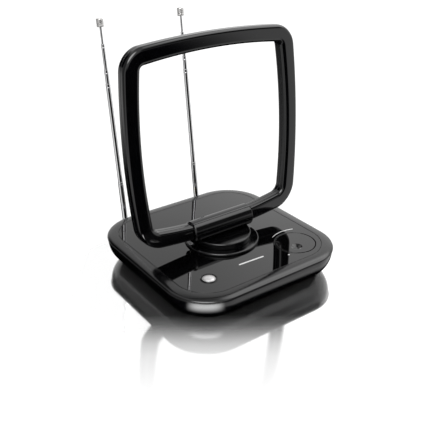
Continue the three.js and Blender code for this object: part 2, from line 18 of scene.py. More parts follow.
import bmesh
import bpy
import numpy as np
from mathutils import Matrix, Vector
from mathutils.geometry import delaunay_2d_cdt

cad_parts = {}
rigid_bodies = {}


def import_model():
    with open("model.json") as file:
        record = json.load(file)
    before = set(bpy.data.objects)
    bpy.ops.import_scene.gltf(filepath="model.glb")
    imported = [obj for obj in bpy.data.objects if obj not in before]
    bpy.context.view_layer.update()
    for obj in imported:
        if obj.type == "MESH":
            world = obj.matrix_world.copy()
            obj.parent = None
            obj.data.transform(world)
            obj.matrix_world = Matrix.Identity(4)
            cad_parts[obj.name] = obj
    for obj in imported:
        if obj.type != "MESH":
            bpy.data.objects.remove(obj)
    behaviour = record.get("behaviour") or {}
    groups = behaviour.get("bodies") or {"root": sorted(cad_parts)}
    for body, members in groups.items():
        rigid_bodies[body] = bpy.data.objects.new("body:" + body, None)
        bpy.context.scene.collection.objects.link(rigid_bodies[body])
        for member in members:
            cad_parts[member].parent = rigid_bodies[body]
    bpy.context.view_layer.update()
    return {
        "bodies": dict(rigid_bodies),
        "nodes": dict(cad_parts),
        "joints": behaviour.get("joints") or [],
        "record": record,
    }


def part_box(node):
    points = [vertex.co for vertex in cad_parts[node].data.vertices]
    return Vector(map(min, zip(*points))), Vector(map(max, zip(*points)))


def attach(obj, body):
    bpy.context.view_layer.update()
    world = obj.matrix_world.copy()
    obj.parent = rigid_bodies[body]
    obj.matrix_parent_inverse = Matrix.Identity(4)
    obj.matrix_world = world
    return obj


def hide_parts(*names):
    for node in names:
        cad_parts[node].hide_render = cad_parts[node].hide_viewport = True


log = logging.getLogger("antenna")

Array = np.ndarray
Outline = Sequence[tuple[float, float]]
Socket = bpy.types.NodeSocket

MM = 0.001
SUPPORT = 0.04  # from a fillet to the extra point beside it, which keeps a flat face's shading flat
WELD = 1e-6  # metres
CREASE_DEG = 34.0
FLOOR_DROP = 0.0002  # metres, below the feet
AERIAL_HEIGHT = 15.5  # of the aerial socket's axis
SUPPLY_HEIGHT = 15.2  # of the supply socket's axis
THROUGH = 10.0  # half the length of a tool that cuts right through a lug


class Slot(Enum):
    """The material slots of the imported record."""

    GLOSS = "gloss_black"
    SATIN = "satin_black"
    SILVER = "silver_paint"
    RUBBER = "rubber"
    CHROME = "chrome"
    STEEL = "steel"
    BRASS = "plated_brass"
    TIN = "tin_plate"
    BOARD = "circuit_board"
    NYLON = "nylon"


class Side(Enum):
    """Which of the two rods, and the sign of its x."""

    LEFT = -1
    RIGHT = 1

    @property
    def word(self) -> str:
        """The side as it stands in the names of nodes."""
        return self.name.lower()


# ---------------------------------------------------------------- outlines and surfaces
def filleted(corners: Outline, radii: Sequence[float], steps: int = 6) -> Array:
    """Round the inner corners of an open outline.

    Formula: a corner of radius r that turns by t has its two tangent points r * tan(t / 2) away from
    it, and the arc is the first tangent point turned about the centre by equal shares of t.

    Args:
        corners: The outline's corners, the two ends among them.
        radii: The radius at each corner between the ends, 0 for a sharp one.
        steps: Steps in each arc.

    Returns:
        The outline's points, one row each.
    """
    points = np.asarray(corners, float)
    parts = [points[:1]]
    for before, corner, after, radius in zip(points, points[1:], points[2:], radii):
        if radius == 0:
            parts.append(corner[None])
            continue
        arrive = (corner - before) / np.linalg.norm(corner - before)
        leave = (after - corner) / np.linalg.norm(after - corner)
        turn = math.atan2(arrive[0] * leave[1] - arrive[1] * leave[0], arrive @ leave)
        reach = radius * math.tan(abs(turn) / 2)
        start = corner - arrive * reach
        centre = start + math.copysign(radius, turn) * np.array([-arrive[1], arrive[0]])
        share = turn * np.linspace(0, 1, steps + 1)[:, None]
        spoke = start - centre
        across = np.array([-spoke[1], spoke[0]])
        arc = centre + np.cos(share) * spoke + np.sin(share) * across
        parts += [start[None] - arrive * SUPPORT, arc, corner[None] + leave * (reach + SUPPORT)]
    parts.append(points[-1:])
    return np.vstack(parts)


def quarter_ellipse(start: tuple[float, float], end: tuple[float, float], steps: int = 16) -> Array:
    """A quarter ellipse that leaves start along the second coordinate and arrives at end along the first.

    Formula: with w and h the differences of the coordinates and a from 0 to 90 degrees, the point is
    start + (w * (1 - cos a), h * sin a).
    """
    angle = np.linspace(0, math.pi / 2, steps + 1)
    width, height = end[0] - start[0], end[1] - start[1]
    return np.column_stack([start[0] + width * (1 - np.cos(angle)), start[1] + height * np.sin(angle)])


def turned(profile: Array, segments: int = 96) -> Array:
    """A profile of (radius, height) carried round the Z axis.

    Formula: at the angle a the point is (radius * cos a, radius * sin a, height).
    """
    angle = np.linspace(0, 2 * math.pi, segments, endpoint=False)[:, None]
    radius, height = np.asarray(profile, float).T
    return np.stack(
        [radius * np.cos(angle), radius * np.sin(angle), np.broadcast_to(height, (segments, len(height)))],
        axis=-1,
    )


def circle(radius: float, height: float, x: float = 0.0, y: float = 0.0, segments: int = 96) -> Array:
    """A level ring of points: (x + radius * cos a, y + radius * sin a, height) for a all round."""
    return turned(np.array([[radius, height]]), segments)[:, 0] + np.array([x, y, 0.0])


ALONG_X = np.array([[0.0, 0, 1], [0, 1, 0], [-1, 0, 0]])
ALONG_Y = np.array([[1.0, 0, 0], [0, 0, 1], [0, -1, 0]])


def leaned(degrees: float) -> Array:
    """The turn about X that tips +Z towards +Y by an angle."""
    c, s = math.cos(math.radians(degrees)), math.sin(math.radians(degrees))
    return np.array([[1.0, 0, 0], [0, c, s], [0, -s, c]])


def heading(azimuth_deg: float, elevation_deg: float) -> Vector:
    """The direction at an azimuth and an elevation.

    Formula: (sin a * cos e, -cos a * cos e, sin e).

    Args:
        azimuth_deg: From the front, -Y, towards the right, +X.
        elevation_deg: Up from level.

    Returns:
        The direction, one unit long.
    """
    azimuth, elevation = math.radians(azimuth_deg), math.radians(elevation_deg)
    level = math.cos(elevation)
    return Vector((math.sin(azimuth) * level, -math.cos(azimuth) * level, math.sin(elevation)))


def triangulated(rings: Sequence[Array]) -> Array:
    """The constrained Delaunay triangles of flat rings.

    Args:
        rings: One ring of points after another. Only their first two coordinates count.

    Returns:
        Rows of three indices into the points of all the rings together.
    """
    starts = np.cumsum([0] + [len(ring) for ring in rings])
    edges = np.vstack([
        np.column_stack([np.arange(a, b), np.roll(np.arange(a, b), -1)])
        for a, b in zip(starts, starts[1:])
    ])
    flat = [Vector(p) for p in np.vstack(rings)[:, :2].tolist()]
    _, _, faces, _, _, _ = delaunay_2d_cdt(flat, edges.tolist(), [], 1, 1e-6)
    return np.array([list(face) for face in faces])


class Skin:
    """The patches of one closed surface, in millimetres, until they are welded into a mesh."""

    def __init__(self) -> None:
        """An empty skin."""
        self.points: list[Array] = []
        self.faces: list[list[int]] = []
        self.count = 0

    def add(self, points: Array, faces: Array) -> Skin:
        """Take over points and the faces between them."""
        self.faces += (faces + self.count).tolist()
        self.points.append(points.reshape(-1, 3))
        self.count += len(self.points[-1])
        return self

    def grid(self, points: Array, loop_u: bool = False, loop_v: bool = False) -> Skin:
        """Add a patch of quads between the points of a (u, v) grid.

        Args:
            points: An array of shape (u, v, 3).
            loop_u: Whether the last row joins the first.
            loop_v: Whether the last column joins the first.

        Returns:
            The skin itself.
        """
        index = np.arange(points.shape[0] * points.shape[1]).reshape(points.shape[:2])
        if loop_u:
            index = np.vstack([index, index[:1]])
        if loop_v:
            index = np.hstack([index, index[:, :1]])
        quads = np.stack([index[:-1, :-1], index[1:, :-1], index[1:, 1:], index[:-1, 1:]], axis=-1)
        return self.add(points, quads.reshape(-1, 4))

    def fill(self, rim: Array, *holes: Array) -> Skin:
        """Add a level flat face inside a convex ring and outside convex holes.

        The face is the constrained Delaunay triangulation of all the rings, without the triangles
        whose three corners are on one and the same hole.

        Args:
            rim: The outer ring, one row per point.
            holes: The rings of the holes.

        Returns:
            The skin itself.
        """
        rings = [rim, *holes]
        points = np.vstack(rings)
        owner = np.repeat(np.arange(len(rings)), [len(ring) for ring in rings])
        triangles = triangulated(rings)
        ids = owner[triangles]
        inside_hole = (ids[:, 0] == ids[:, 1]) & (ids[:, 1] == ids[:, 2]) & (ids[:, 0] > 0)
        return self.add(points, triangles[~inside_hole])

    def carried(self, grid: Array, section: Array) -> Skin:
        """Add a flat closed section's grid along its path, and fill the two ends."""
        ends = triangulated([section])
        return self.grid(grid, loop_v=True).add(grid[0], ends).add(grid[-1], ends)

    def turned(self, profile: Array, segments: int = 96, x: float = 0.0, y: float = 0.0) -> Skin:
        """Add a profile turned about an upright axis at (x, y)."""
        return self.grid(turned(profile, segments) + np.array([x, y, 0.0]), loop_u=True)

    def moved(self, turn: Array | None = None, offset: Iterable[float] = (0, 0, 0)) -> Skin:
        """Turn the skin by a matrix, then shift it."""
        matrix = np.eye(3) if turn is None else turn
        self.points = [p @ matrix.T + np.asarray(offset, float) for p in self.points]
        return self


def solid_of_revolution(corners: Outline, radii: Sequence[float], segments: int = 96, steps: int = 6,
                        closed: bool = False) -> Skin:
    """A turned piece with filleted edges, about the Z axis.

    Args:
        corners: The (radius, height) corners. An open profile starts and ends on the axis, and a
            closed one names its first corner again at the end.
        radii: The fillet at each corner between the ends.
        segments: Steps round the axis.
        steps: Steps in each fillet.
        closed: Whether the profile closes on itself, as a tube's does.

    Returns:
        The skin.
    """
    profile = filleted(corners, radii, steps)
    if closed:
        return Skin().grid(turned(profile[:-1], segments), loop_u=True, loop_v=True)
    return Skin().turned(profile, segments)


def cylinder(radius: float, bottom: float, top: float, x: float = 0.0, y: float = 0.0,
             segments: int = 64) -> Skin:
    """A plain turned tool for cutting a round hole."""
    return Skin().turned(np.array([[0, bottom], [radius, bottom], [radius, top], [0, top]]), segments, x, y)


def slab(outline: Callable[[float], Array], bottom: float, top: float, fillet: float,
         steps: int = 5) -> Skin:
    """A plate between two heights with filleted edges.

    Args:
        outline: Gives the plan outline as rows of (x, y), pulled in by a distance.
        bottom: The lower height.
        top: The upper height.
        fillet: The radius of its upper and lower edges.
        steps: Steps in each fillet.

    Returns:
        The skin.
    """
    inset = fillet + 2 * SUPPORT
    profile = filleted([(inset, bottom), (0, bottom), (0, top), (inset, top)], [fillet, fillet], steps)
    rings = [np.column_stack([outline(d), np.full(len(outline(d)), z)]) for d, z in profile]
    return Skin().grid(np.stack(rings, axis=1), loop_u=True).fill(rings[0]).fill(rings[-1])


def rectangle(width: float, depth: float, corner: float, x: float = 0.0, y: float = 0.0,
              arc_steps: int = 8) -> Callable[[float], Array]:
    """A plan outline with round corners, as a function of how far it is pulled in.

    Formula: each corner is the arc centre + (corner - inset) * (cos a, sin a) over a quarter turn, and
    the arcs' ends make the straight sides.
    """

    def outline(inset: float) -> Array:
        """The outline, pulled in by inset."""
        quarter = np.arange(4)[:, None]
        angle = (quarter * math.pi / 2 + np.linspace(0, math.pi / 2, arc_steps + 1)).ravel()
        signs = np.array([[1, 1], [-1, 1], [-1, -1], [1, -1]])
        centres = signs * np.array([width / 2 - corner, depth / 2 - corner]) + np.array([x, y])
        spokes = (corner - inset) * np.column_stack([np.cos(angle), np.sin(angle)])
        return np.repeat(centres, arc_steps + 1, axis=0) + spokes

    return outline


# ---------------------------------------------------------------- finishes
class Weave:
    """Short ways to lay nodes in one material's tree."""

    def __init__(self, name: str) -> None:
        """A new material with a Principled shader and Object coordinates."""
        self.material = bpy.data.materials.new(name)
        self.material.use_nodes = True
        self.tree = self.material.node_tree
        self.shader = self.tree.nodes["Principled BSDF"]
        self.coordinates = self.node("ShaderNodeTexCoord").outputs["Object"]

    def node(self, kind: str, inputs: dict[str, object] | None = None, **settings: object) -> bpy.types.Node:
        """Add a node, with settings on it and values or links on its inputs."""
        made = self.tree.nodes.new(kind)
        for key, value in settings.items():
            setattr(made, key, value)
        for key, value in (inputs or {}).items():
            self.feed(made.inputs[key], value)
        return made

    def feed(self, socket: Socket, value: object) -> None:
        """Link an output to a socket, or set the socket's own value."""
        if isinstance(value, Socket):
            self.tree.links.new(value, socket)
        else:
            socket.default_value = value

    def math(self, operation: str, *values: object) -> Socket:
        """The result of one sum, product or other step on numbers."""
        return self.node("ShaderNodeMath", dict(enumerate(values)), operation=operation).outputs[0]

    def vector(self, operation: str, *values: object, result: str = "Vector") -> Socket:
        """The result of one step on vectors, "Vector" or "Value"."""
        return self.node("ShaderNodeVectorMath", dict(enumerate(values)), operation=operation).outputs[result]

    def eased(self, value: Socket, start: float, end: float, high: float = 1.0) -> Socket:
        """A smooth step that goes from 0 at start to high at end."""
        inputs = {"Value": value, "From Min": start, "From Max": end, "To Min": 0.0, "To Max": high}
        return self.node("ShaderNodeMapRange", inputs, interpolation_type="SMOOTHSTEP").outputs["Result"]

    def emission(self, strength: object) -> Socket:
        """White light of a strength."""
        return self.node("ShaderNodeEmission", {"Color": (1, 1, 1, 1), "Strength": strength}).outputs[0]

    def surface(self, shader: Socket) -> None:
        """Let another shader than the Principled one be the surface."""
        self.tree.links.new(shader, self.tree.nodes["Material Output"].inputs["Surface"])

    def noise(self, scale: float, detail: float = 2.0, stretch: Sequence[float] = (1, 1, 1)) -> Socket:
        """Noise with a scale per metre, its coordinates stretched first."""
        place = self.node("ShaderNodeMapping", {"Vector": self.coordinates, "Scale": tuple(stretch)})
        inputs = {"Vector": place.outputs["Vector"], "Scale": scale, "Detail": detail}
        return self.node("ShaderNodeTexNoise", inputs).outputs["Fac"]

    def span(self, value: Socket, low: float, high: float, start: float = 0.3,
             end: float = 0.7) -> Socket:
        """Carry a value from start..end to low..high."""
        inputs = {"Value": value, "From Min": start, "From Max": end, "To Min": low, "To Max": high}
        return self.node("ShaderNodeMapRange", inputs).outputs["Result"]

    def blend(self, share: Socket, first: object, second: object) -> Socket:
        """A colour between two, by a share from 0 to 1."""
        mix = self.node("ShaderNodeMix", data_type="RGBA")
        self.feed(mix.inputs[0], share)
        self.feed(mix.inputs[6], first)
        self.feed(mix.inputs[7], second)
        return mix.outputs[2]

    def bump(self, height: Socket, distance: float) -> None:
        """Raise the surface by a height, in metres."""
        inputs = {"Height": height, "Distance": distance, "Strength": 1.0}
        self.feed(self.shader.inputs["Normal"], self.node("ShaderNodeBump", inputs).outputs["Normal"])


def rgba(colour: Sequence[float], factor: float = 1.0) -> tuple[float, float, float, float]:
    """A colour for a socket, made lighter or darker by a factor."""
    return (*(min(1.0, channel * factor) for channel in colour), 1.0)


@dataclass(frozen=True)
class Plastic:
    """Moulded plastic: a base colour that drifts a little, a roughness that wanders between two values,
    fine dust, and the faint waves or the fine grain of the mould."""

    name: str
    slot: Slot
    colour: tuple[float, float, float]
    roughness: tuple[float, float]
    grain_scale: float
    grain_height: float
    drift: float = 1.6
    dust: float = 0.05
    specular: float = 0.5

    def material(self) -> bpy.types.Material:
        """Lay the nodes: drift and dust into colour and roughness, grain into bump."""
        weave = Weave(self.name)
        shader = weave.shader
        drift = weave.span(weave.noise(45.0, 3.0), 0.0, 1.0)
        dust = weave.span(weave.noise(2600.0, 1.0), 0.0, self.dust, 0.72, 0.8)
        body = weave.blend(drift, rgba(self.colour), rgba(self.colour, self.drift))
        weave.feed(shader.inputs["Base Color"], weave.blend(dust, body, rgba((0.4, 0.39, 0.38))))
        wander = weave.span(weave.noise(160.0, 4.0), *self.roughness)
        weave.feed(shader.inputs["Roughness"], weave.math("ADD", wander, dust))
        shader.inputs["IOR"].default_value = 1.5
        shader.inputs["Specular IOR Level"].default_value = self.specular
        weave.bump(weave.noise(self.grain_scale, 2.0), self.grain_height)
        return weave.material


@dataclass(frozen=True)
class Metal:
    """Plated, drawn or painted metal: streaks along one axis vary the roughness and the relief, and a broader
    noise darkens the colour in patches of tarnish.
    """

    name: str
    slot: Slot
    colour: tuple[float, float, float]
    roughness: tuple[float, float]
    streaks: tuple[float, float, float] = (1.0, 1.0, 0.03)
    streak_scale: float = 1800.0
    relief: float = 2e-6
    shine: float = 1.0

    def material(self) -> bpy.types.Material:
        """Lay the nodes: one streaked noise drives roughness and relief, and a broad tarnish noise drives the
        colour.
        """
        weave = Weave(self.name)
        shader = weave.shader
        streak = weave.noise(self.streak_scale, 3.0, self.streaks)
        tarnish = weave.span(weave.noise(90.0, 4.0), 0.0, 0.35)
        shader.inputs["Metallic"].default_value = self.shine
        tarnished = weave.blend(tarnish, rgba(self.colour), rgba(self.colour, 0.72))
        weave.feed(shader.inputs["Base Color"], tarnished)
        weave.feed(shader.inputs["Roughness"], weave.span(streak, *self.roughness))
        weave.bump(streak, self.relief)
        return weave.material


@dataclass(frozen=True)
class Laminate:
    """A circuit board: solder mask over tracks that show as paler lanes, with tinned pads."""

    name: str
    slot: Slot
    mask: tuple[float, float, float]
    track: tuple[float, float, float]

    def material(self) -> bpy.types.Material:
        """Lay the nodes: a brick pattern for the tracks and a cell pattern for the pads."""
        weave = Weave(self.name)
        shader = weave.shader
        lanes = weave.node("ShaderNodeTexBrick", {
            "Vector": weave.coordinates, "Scale": 160.0, "Mortar Size": 0.09, "Brick Width": 1.7,
        })
        cells = weave.node("ShaderNodeTexVoronoi", {"Vector": weave.coordinates, "Scale": 240.0})
        pads = weave.span(cells.outputs["Distance"], 1.0, 0.0, 0.16, 0.2)
        green = weave.blend(lanes.outputs["Fac"], rgba(self.mask), rgba(self.track))
        weave.feed(shader.inputs["Base Color"], weave.blend(pads, green, rgba((0.62, 0.6, 0.55))))
        weave.feed(shader.inputs["Roughness"], weave.span(weave.noise(500.0), 0.3, 0.5))
        weave.bump(lanes.outputs["Fac"], 3e-5)
        return weave.material


JET = (0.0008, 0.0008, 0.0011)
EVEN = (1.0, 1.0, 1.0)  # streaks that run no way, as on a cast or painted face
PLATE_BLACK = Plastic(
    "plate_black", Slot.GLOSS, (0.0008, 0.0008, 0.001), (0.004, 0.016), 30.0, 1.5e-6, dust=0.03,
)
LOOP_BLACK = Plastic("loop_black", Slot.GLOSS, JET, (0.04, 0.07), 70.0, 4e-6)
PEDESTAL_BLACK = Plastic("pedestal_black", Slot.GLOSS, JET, (0.08, 0.12), 70.0, 4e-6)
COLLAR_BLACK = Plastic(
    "collar_black", Slot.GLOSS, (0.001, 0.001, 0.0012), (0.1, 0.16), 70.0, 3e-6, specular=0.3,
)
CASE_BLACK = Plastic("case_black", Slot.GLOSS, (0.001, 0.001, 0.0013), (0.12, 0.17), 5200.0, 4e-6)
SATIN_BLACK = Plastic("satin_black_nylon", Slot.SATIN, (0.006, 0.006, 0.0065), (0.34, 0.46), 3800.0, 9e-6)
FOOT_RUBBER = Plastic("foot_rubber", Slot.RUBBER, (0.012, 0.012, 0.012), (0.7, 0.9), 3000.0, 2e-5)
BUSH_NYLON = Plastic("bush_nylon", Slot.NYLON, (0.62, 0.6, 0.54), (0.4, 0.55), 900.0, 8e-6, drift=0.9)
INK = Plastic("pale_ink", Slot.SILVER, (0.78, 0.78, 0.78), (0.35, 0.5), 4000.0, 2e-6, drift=0.9)
BUTTON_SILVER = Metal(
    "button_silver", Slot.SILVER, (0.62, 0.61, 0.61), (0.26, 0.36), EVEN, 4000.0, 1.5e-6, shine=0.7,
)
ROD_CHROME = Metal("rod_chrome", Slot.CHROME, (0.68, 0.68, 0.69), (0.08, 0.16))
CAP_NICKEL = Metal("cap_nickel", Slot.CHROME, (0.72, 0.71, 0.7), (0.38, 0.48))
SCREW_STEEL = Metal("screw_steel", Slot.STEEL, (0.5, 0.5, 0.51), (0.22, 0.4), EVEN, 900.0)
SOCKET_BRASS = Metal("socket_plating", Slot.BRASS, (0.72, 0.6, 0.36), (0.12, 0.25), EVEN, 700.0)
CAN_TIN = Metal("can_tin", Slot.TIN, (0.66, 0.67, 0.68), (0.2, 0.38), EVEN, 260.0)
BOARD_GREEN = Laminate("board_green", Slot.BOARD, (0.012, 0.09, 0.03), (0.03, 0.17, 0.05))

Finish = Plastic | Metal | Laminate


@lru_cache(maxsize=None)
def coat(finish: Finish) -> bpy.types.Material:
    """The one material of a finish."""
    return finish.material()


# ---------------------------------------------------------------- bench
@dataclass
class Bench:
    """Where pieces are measured, welded, cut and put on their bodies."""

    frame: dict
    origin: Array = field(init=False)

    def __post_init__(self) -> None:
        """The middle of the base, in millimetres of the frame, is where every measure starts."""
        low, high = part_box("upper_housing")
        self.origin = np.array([0.0, (low[1] + high[1]) / 2, 0.0]) / MM

    def box(self, node: str) -> tuple[Array, Array]:
        """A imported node's lowest and highest corner, in millimetres from the middle of the base."""
        low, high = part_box(node)
        return np.array(low) / MM - self.origin, np.array(high) / MM - self.origin

    def middle(self, node: str) -> Array:
        """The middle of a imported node's box."""
        low, high = self.box(node)
        return (low + high) / 2

    def mesh(self, name: str, skin: Skin) -> bpy.types.Mesh:
        """Weld a skin into a closed mesh in metres of the frame, with its faces out.

        Args:
            name: The mesh's name.
            skin: The patches.

        Returns:
            The mesh.

        Raises:
            ValueError: Where the patches don't close.
        """
        points = (np.vstack(skin.points) + self.origin) * MM
        mesh = bpy.data.meshes.new(name)
        mesh.from_pydata(points.tolist(), [], skin.faces)
        work = bmesh.new()
        work.from_mesh(mesh)
        bmesh.ops.remove_doubles(work, verts=work.verts, dist=WELD)
        bmesh.ops.dissolve_degenerate(work, edges=work.edges, dist=WELD)
        bmesh.ops.recalc_face_normals(work, faces=work.faces)
        open_edges = sum(not edge.is_manifold for edge in work.edges)
        if open_edges:
            raise ValueError(f"{name} has {open_edges} open edges")
        work.to_mesh(mesh)
        work.free()
        return mesh

    def carved(self, name: str, body: Skin, add: Sequence[Skin] = (),
               cut: Sequence[Skin] = ()) -> bpy.types.Mesh:
        """Join skins to a body, then cut others out of it.

        Args:
            name: The mesh's name.
            body: The skin to start from.
            add: Closed skins to join.
            cut: Closed skins to take away.

        Returns:
            The mesh.
        """
        blank = bpy.data.objects.new(name, self.mesh(name, body))
        bpy.context.collection.objects.link(blank)
        tools = []
        for operation, skins in (("UNION", add), ("DIFFERENCE", cut)):
            for skin in skins:
                tool = bpy.data.objects.new("tool", self.mesh("tool", skin))
                bpy.context.collection.objects.link(tool)
                tools.append(tool)
                modifier = blank.modifiers.new(operation, "BOOLEAN")
                modifier.operation = operation
                modifier.solver = "MANIFOLD"
                modifier.object = tool
        ready = blank.evaluated_get(bpy.context.evaluated_depsgraph_get())
        mesh = bpy.data.meshes.new_from_object(ready)
        for used in [blank, *tools]:
            bpy.data.objects.remove(used)
        mesh.name = name
        return mesh

    def place(self, name: str, shape: Skin | bpy.types.Mesh, finish: Finish, body: str,
              stands_for: Sequence[str] = ()) -> bpy.types.Object:
        """Make a piece of a shape and put it on its body.

        Args:
            name: The piece's name.
            shape: A skin or a finished mesh.
            finish: Its finish.
            body: The body that it rides on.
            stands_for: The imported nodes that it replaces.

        Returns:
            The piece.
        """
        mesh = self.mesh(name, shape) if isinstance(shape, Skin) else shape
        mesh.shade_smooth()
        mesh.set_sharp_from_angle(angle=math.radians(CREASE_DEG))
        mesh.materials.clear()
        mesh.materials.append(coat(finish))
        piece = bpy.data.objects.new(name, mesh)
        bpy.context.collection.objects.link(piece)
        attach(piece, body)
        if stands_for:
            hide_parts(*stands_for)
        log.info("%s rides on %s: %d faces", name, body, len(mesh.polygons))
        return piece

    def dress(self, node: str, finish: Finish) -> None:
        """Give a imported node, whose shape stays, its finish."""
        shown = self.frame["nodes"][node]
        if not shown.material_slots:
            shown.data.materials.append(coat(finish))
        for slot in shown.material_slots:
            slot.material = coat(finish)
        log.info("%s is kept, in %s", node, finish.name)


# ---------------------------------------------------------------- base
@dataclass
class BaseCase:
    """The square base: a tub, a rim with a deck, the mirror-like plate, feet and screws."""

    bench: Bench
    half: float = 90.0
    corner: float = 42.5
    underside: float = 2.6
    floor_top: float = 5.0
    parting: float = 25.5
    top: float = 28.95
    rim_inset: float = 11.0
    tub_inset: float = 0.6
    wall: float = 2.4
    curl: tuple[float, float] = (18.0, 22.0)
    inner_curl: tuple[float, float] = (16.0, 19.4)
    deck: tuple[float, float] = (25.1, 27.15)
    gap: float = 0.3
    # The holes in the deck and the plate: the node that goes through, the radius and the plate's fillet.
    holes: tuple[tuple[str, float, float], ...] = (
        ("swivel_ring", 9.0, 0.2), ("gain_knob", 19.6, 0.5), ("power_button", 7.5, 0.2),
    )
    hole_segments: int = 128
    body: str = "base"

    def ring(self, inset: float, height: float) -> Array:
        """The base's outline at a height, pulled in by inset: four arcs of radius corner - inset."""
        plan = rectangle(2 * self.half, 2 * self.half, self.corner, arc_steps=36)(inset)
        return np.column_stack([plan, np.full(len(plan), height)])

    def swept(self, profile: Array) -> Array:
        """The grid of a profile of (inset, height) carried round the outline."""
        return np.stack([self.ring(inset, height) for inset, height in profile], axis=1)

    @staticmethod
    def corners() -> list[str]:
        """The four corners, as they stand in the names of nodes."""
        return [f"{depth}_{side.word}" for depth in ("front", "rear") for side in Side]

    def tub(self) -> None:
        """The lower shell: a flat underside that curls up into an upright wall."""
        inset, (curl_in, curl_up) = self.tub_inset, self.curl
        inner_in, inner_up = self.inner_curl
        inner = inset + self.wall
        lip = self.parting - self.gap
        low, high = self.underside, self.floor_top
        outer_curl = quarter_ellipse((inset, low + curl_up), (inset + curl_in, low), 30)[::-1]
        edge = filleted([(inset, lip - 0.5), (inset, lip), (inner, lip), (inner, lip - 0.6)], [0.4, 0.2])
        hollow_curl = quarter_ellipse((inner, high + inner_up), (inner + inner_in, high), 24)
        profile = np.vstack([
            [[inset + curl_in + SUPPORT, low]], outer_curl, edge, hollow_curl,
            [[inner + inner_in + SUPPORT, high]],
        ])
        skin = Skin().grid(self.swept(profile), loop_u=True)
        skin.fill(self.ring(*profile[0])).fill(self.ring(*profile[-1]))
        posts, cuts = [], []
        for name in self.corners():
            foot = self.bench.middle(f"foot_{name}")
            screw = self.bench.middle(f"case_screw_{name}")
            posts.append(cylinder(4.0, self.floor_top - 1, 13.0, *screw[:2]))
            cuts += [
                cylinder(7.3, 0.0, 3.8, *foot[:2]),
                cylinder(1.7, 0.0, 20.0, *screw[:2]),
                cylinder(3.3, 0.0, 6.0, *screw[:2]),
            ]
        mouths = (("coax_socket", 5.1, AERIAL_HEIGHT), ("power_inlet", 4.5, SUPPLY_HEIGHT))
        for node, radius, height in mouths:
            x, _, _ = self.bench.middle(node)
            cuts.append(cylinder(radius, 75.0, 100.0).moved(ALONG_Y, (x, 0, height)))
        for side in Side:
            x, _, z = self.bench.middle(f"rod_socket_{side.word}")
            cuts.append(cylinder(5.5, 70.0, 100.0).moved(ALONG_Y, (x, 0, z)))
        mesh = self.bench.carved("tub_moulding", skin, posts, cuts)
        self.bench.place("tub_moulding", mesh, CASE_BLACK, self.body, ["lower_tub"])

    def rim(self) -> None:
        """The upper shell: a rim that rises as a quarter ellipse, the deck under the plate, a skirt."""
        skirt_bottom, skirt_in, skirt_wall = 21.9, 3.8, 2.0
        deck_bottom, deck_top = self.deck
        inner = skirt_in + skirt_wall
        crown = quarter_ellipse((0.0, self.parting + 0.4), (self.rim_inset - 0.3, self.top), 28)
        seam = filleted(
            [crown[-1], (self.rim_inset, self.top), (self.rim_inset, deck_top),
             (self.rim_inset + 1, deck_top)],
            [0.22, 0.0], 4,
        )[1:]
        below = filleted(
            [(inner + 1, deck_bottom), (inner, deck_bottom), (inner, skirt_bottom), (skirt_in, skirt_bottom),
             (skirt_in, self.parting), (0.0, self.parting), (0.0, self.parting + 0.4)],
            [0, 0, 0, 0, 0.25], 4,
        )[:-1]
        profile = np.vstack([below, crown, seam])
        skin = Skin().grid(self.swept(profile), loop_u=True)
        skin.fill(self.ring(*profile[0])).fill(self.ring(*profile[-1]))
        swivel, knob, button = (
            cylinder(radius, 20.0, 30.0, *self.bench.middle(node)[:2], segments)
            for (node, radius, _), segments in zip(self.holes, (64, self.hole_segments, 64))
        )
        posts = [cylinder(12.0, 22.6, deck_bottom + 0.5, *self.bench.middle("swivel_ring")[:2])]
        cuts = [swivel]
        for name in self.corners():
            screw = self.bench.middle(f"case_screw_{name}")
            posts.append(cylinder(4.0, 13.3, deck_bottom + 0.5, *screw[:2]))
            cuts.append(cylinder(1.5, 12.0, 21.0, *screw[:2]))
        cuts += [knob, button]
        mesh = self.bench.carved("rim_moulding", skin, posts, cuts)
        self.bench.place("rim_moulding", mesh, CASE_BLACK, self.body, ["upper_housing"])

    def plate(self) -> None:
        """The polished plate: flat, with filleted edges outside and round its three holes."""
        bottom = self.deck[1] + self.gap
        inset = self.rim_inset + self.gap
        edge = 0.3
        deep = edge + 2 * SUPPORT
        top, segments = self.top, self.hole_segments
        profile = filleted(
            [(inset + deep, bottom), (inset, bottom), (inset, top), (inset + deep, top)], [0.1, edge],
        )
        skin = Skin().grid(self.swept(profile), loop_u=True)
        rings = []
        for node, radius, fillet in self.holes:
            x, y, _ = self.bench.middle(node)
            reach = radius + fillet + 2 * SUPPORT
            wall = filleted([(reach, top), (radius, top), (radius, bottom), (reach, bottom)], [fillet, 0.1])
            skin.turned(wall, segments, x, y)
            rings.append((reach, x, y))
        for height, rim in ((top, profile[-1]), (bottom, profile[0])):
            skin.fill(self.ring(*rim), *(circle(r, height, x, y, segments) for r, x, y in rings))
        self.bench.place("mirror_plate", skin, PLATE_BLACK, self.body, ["top_plate"])

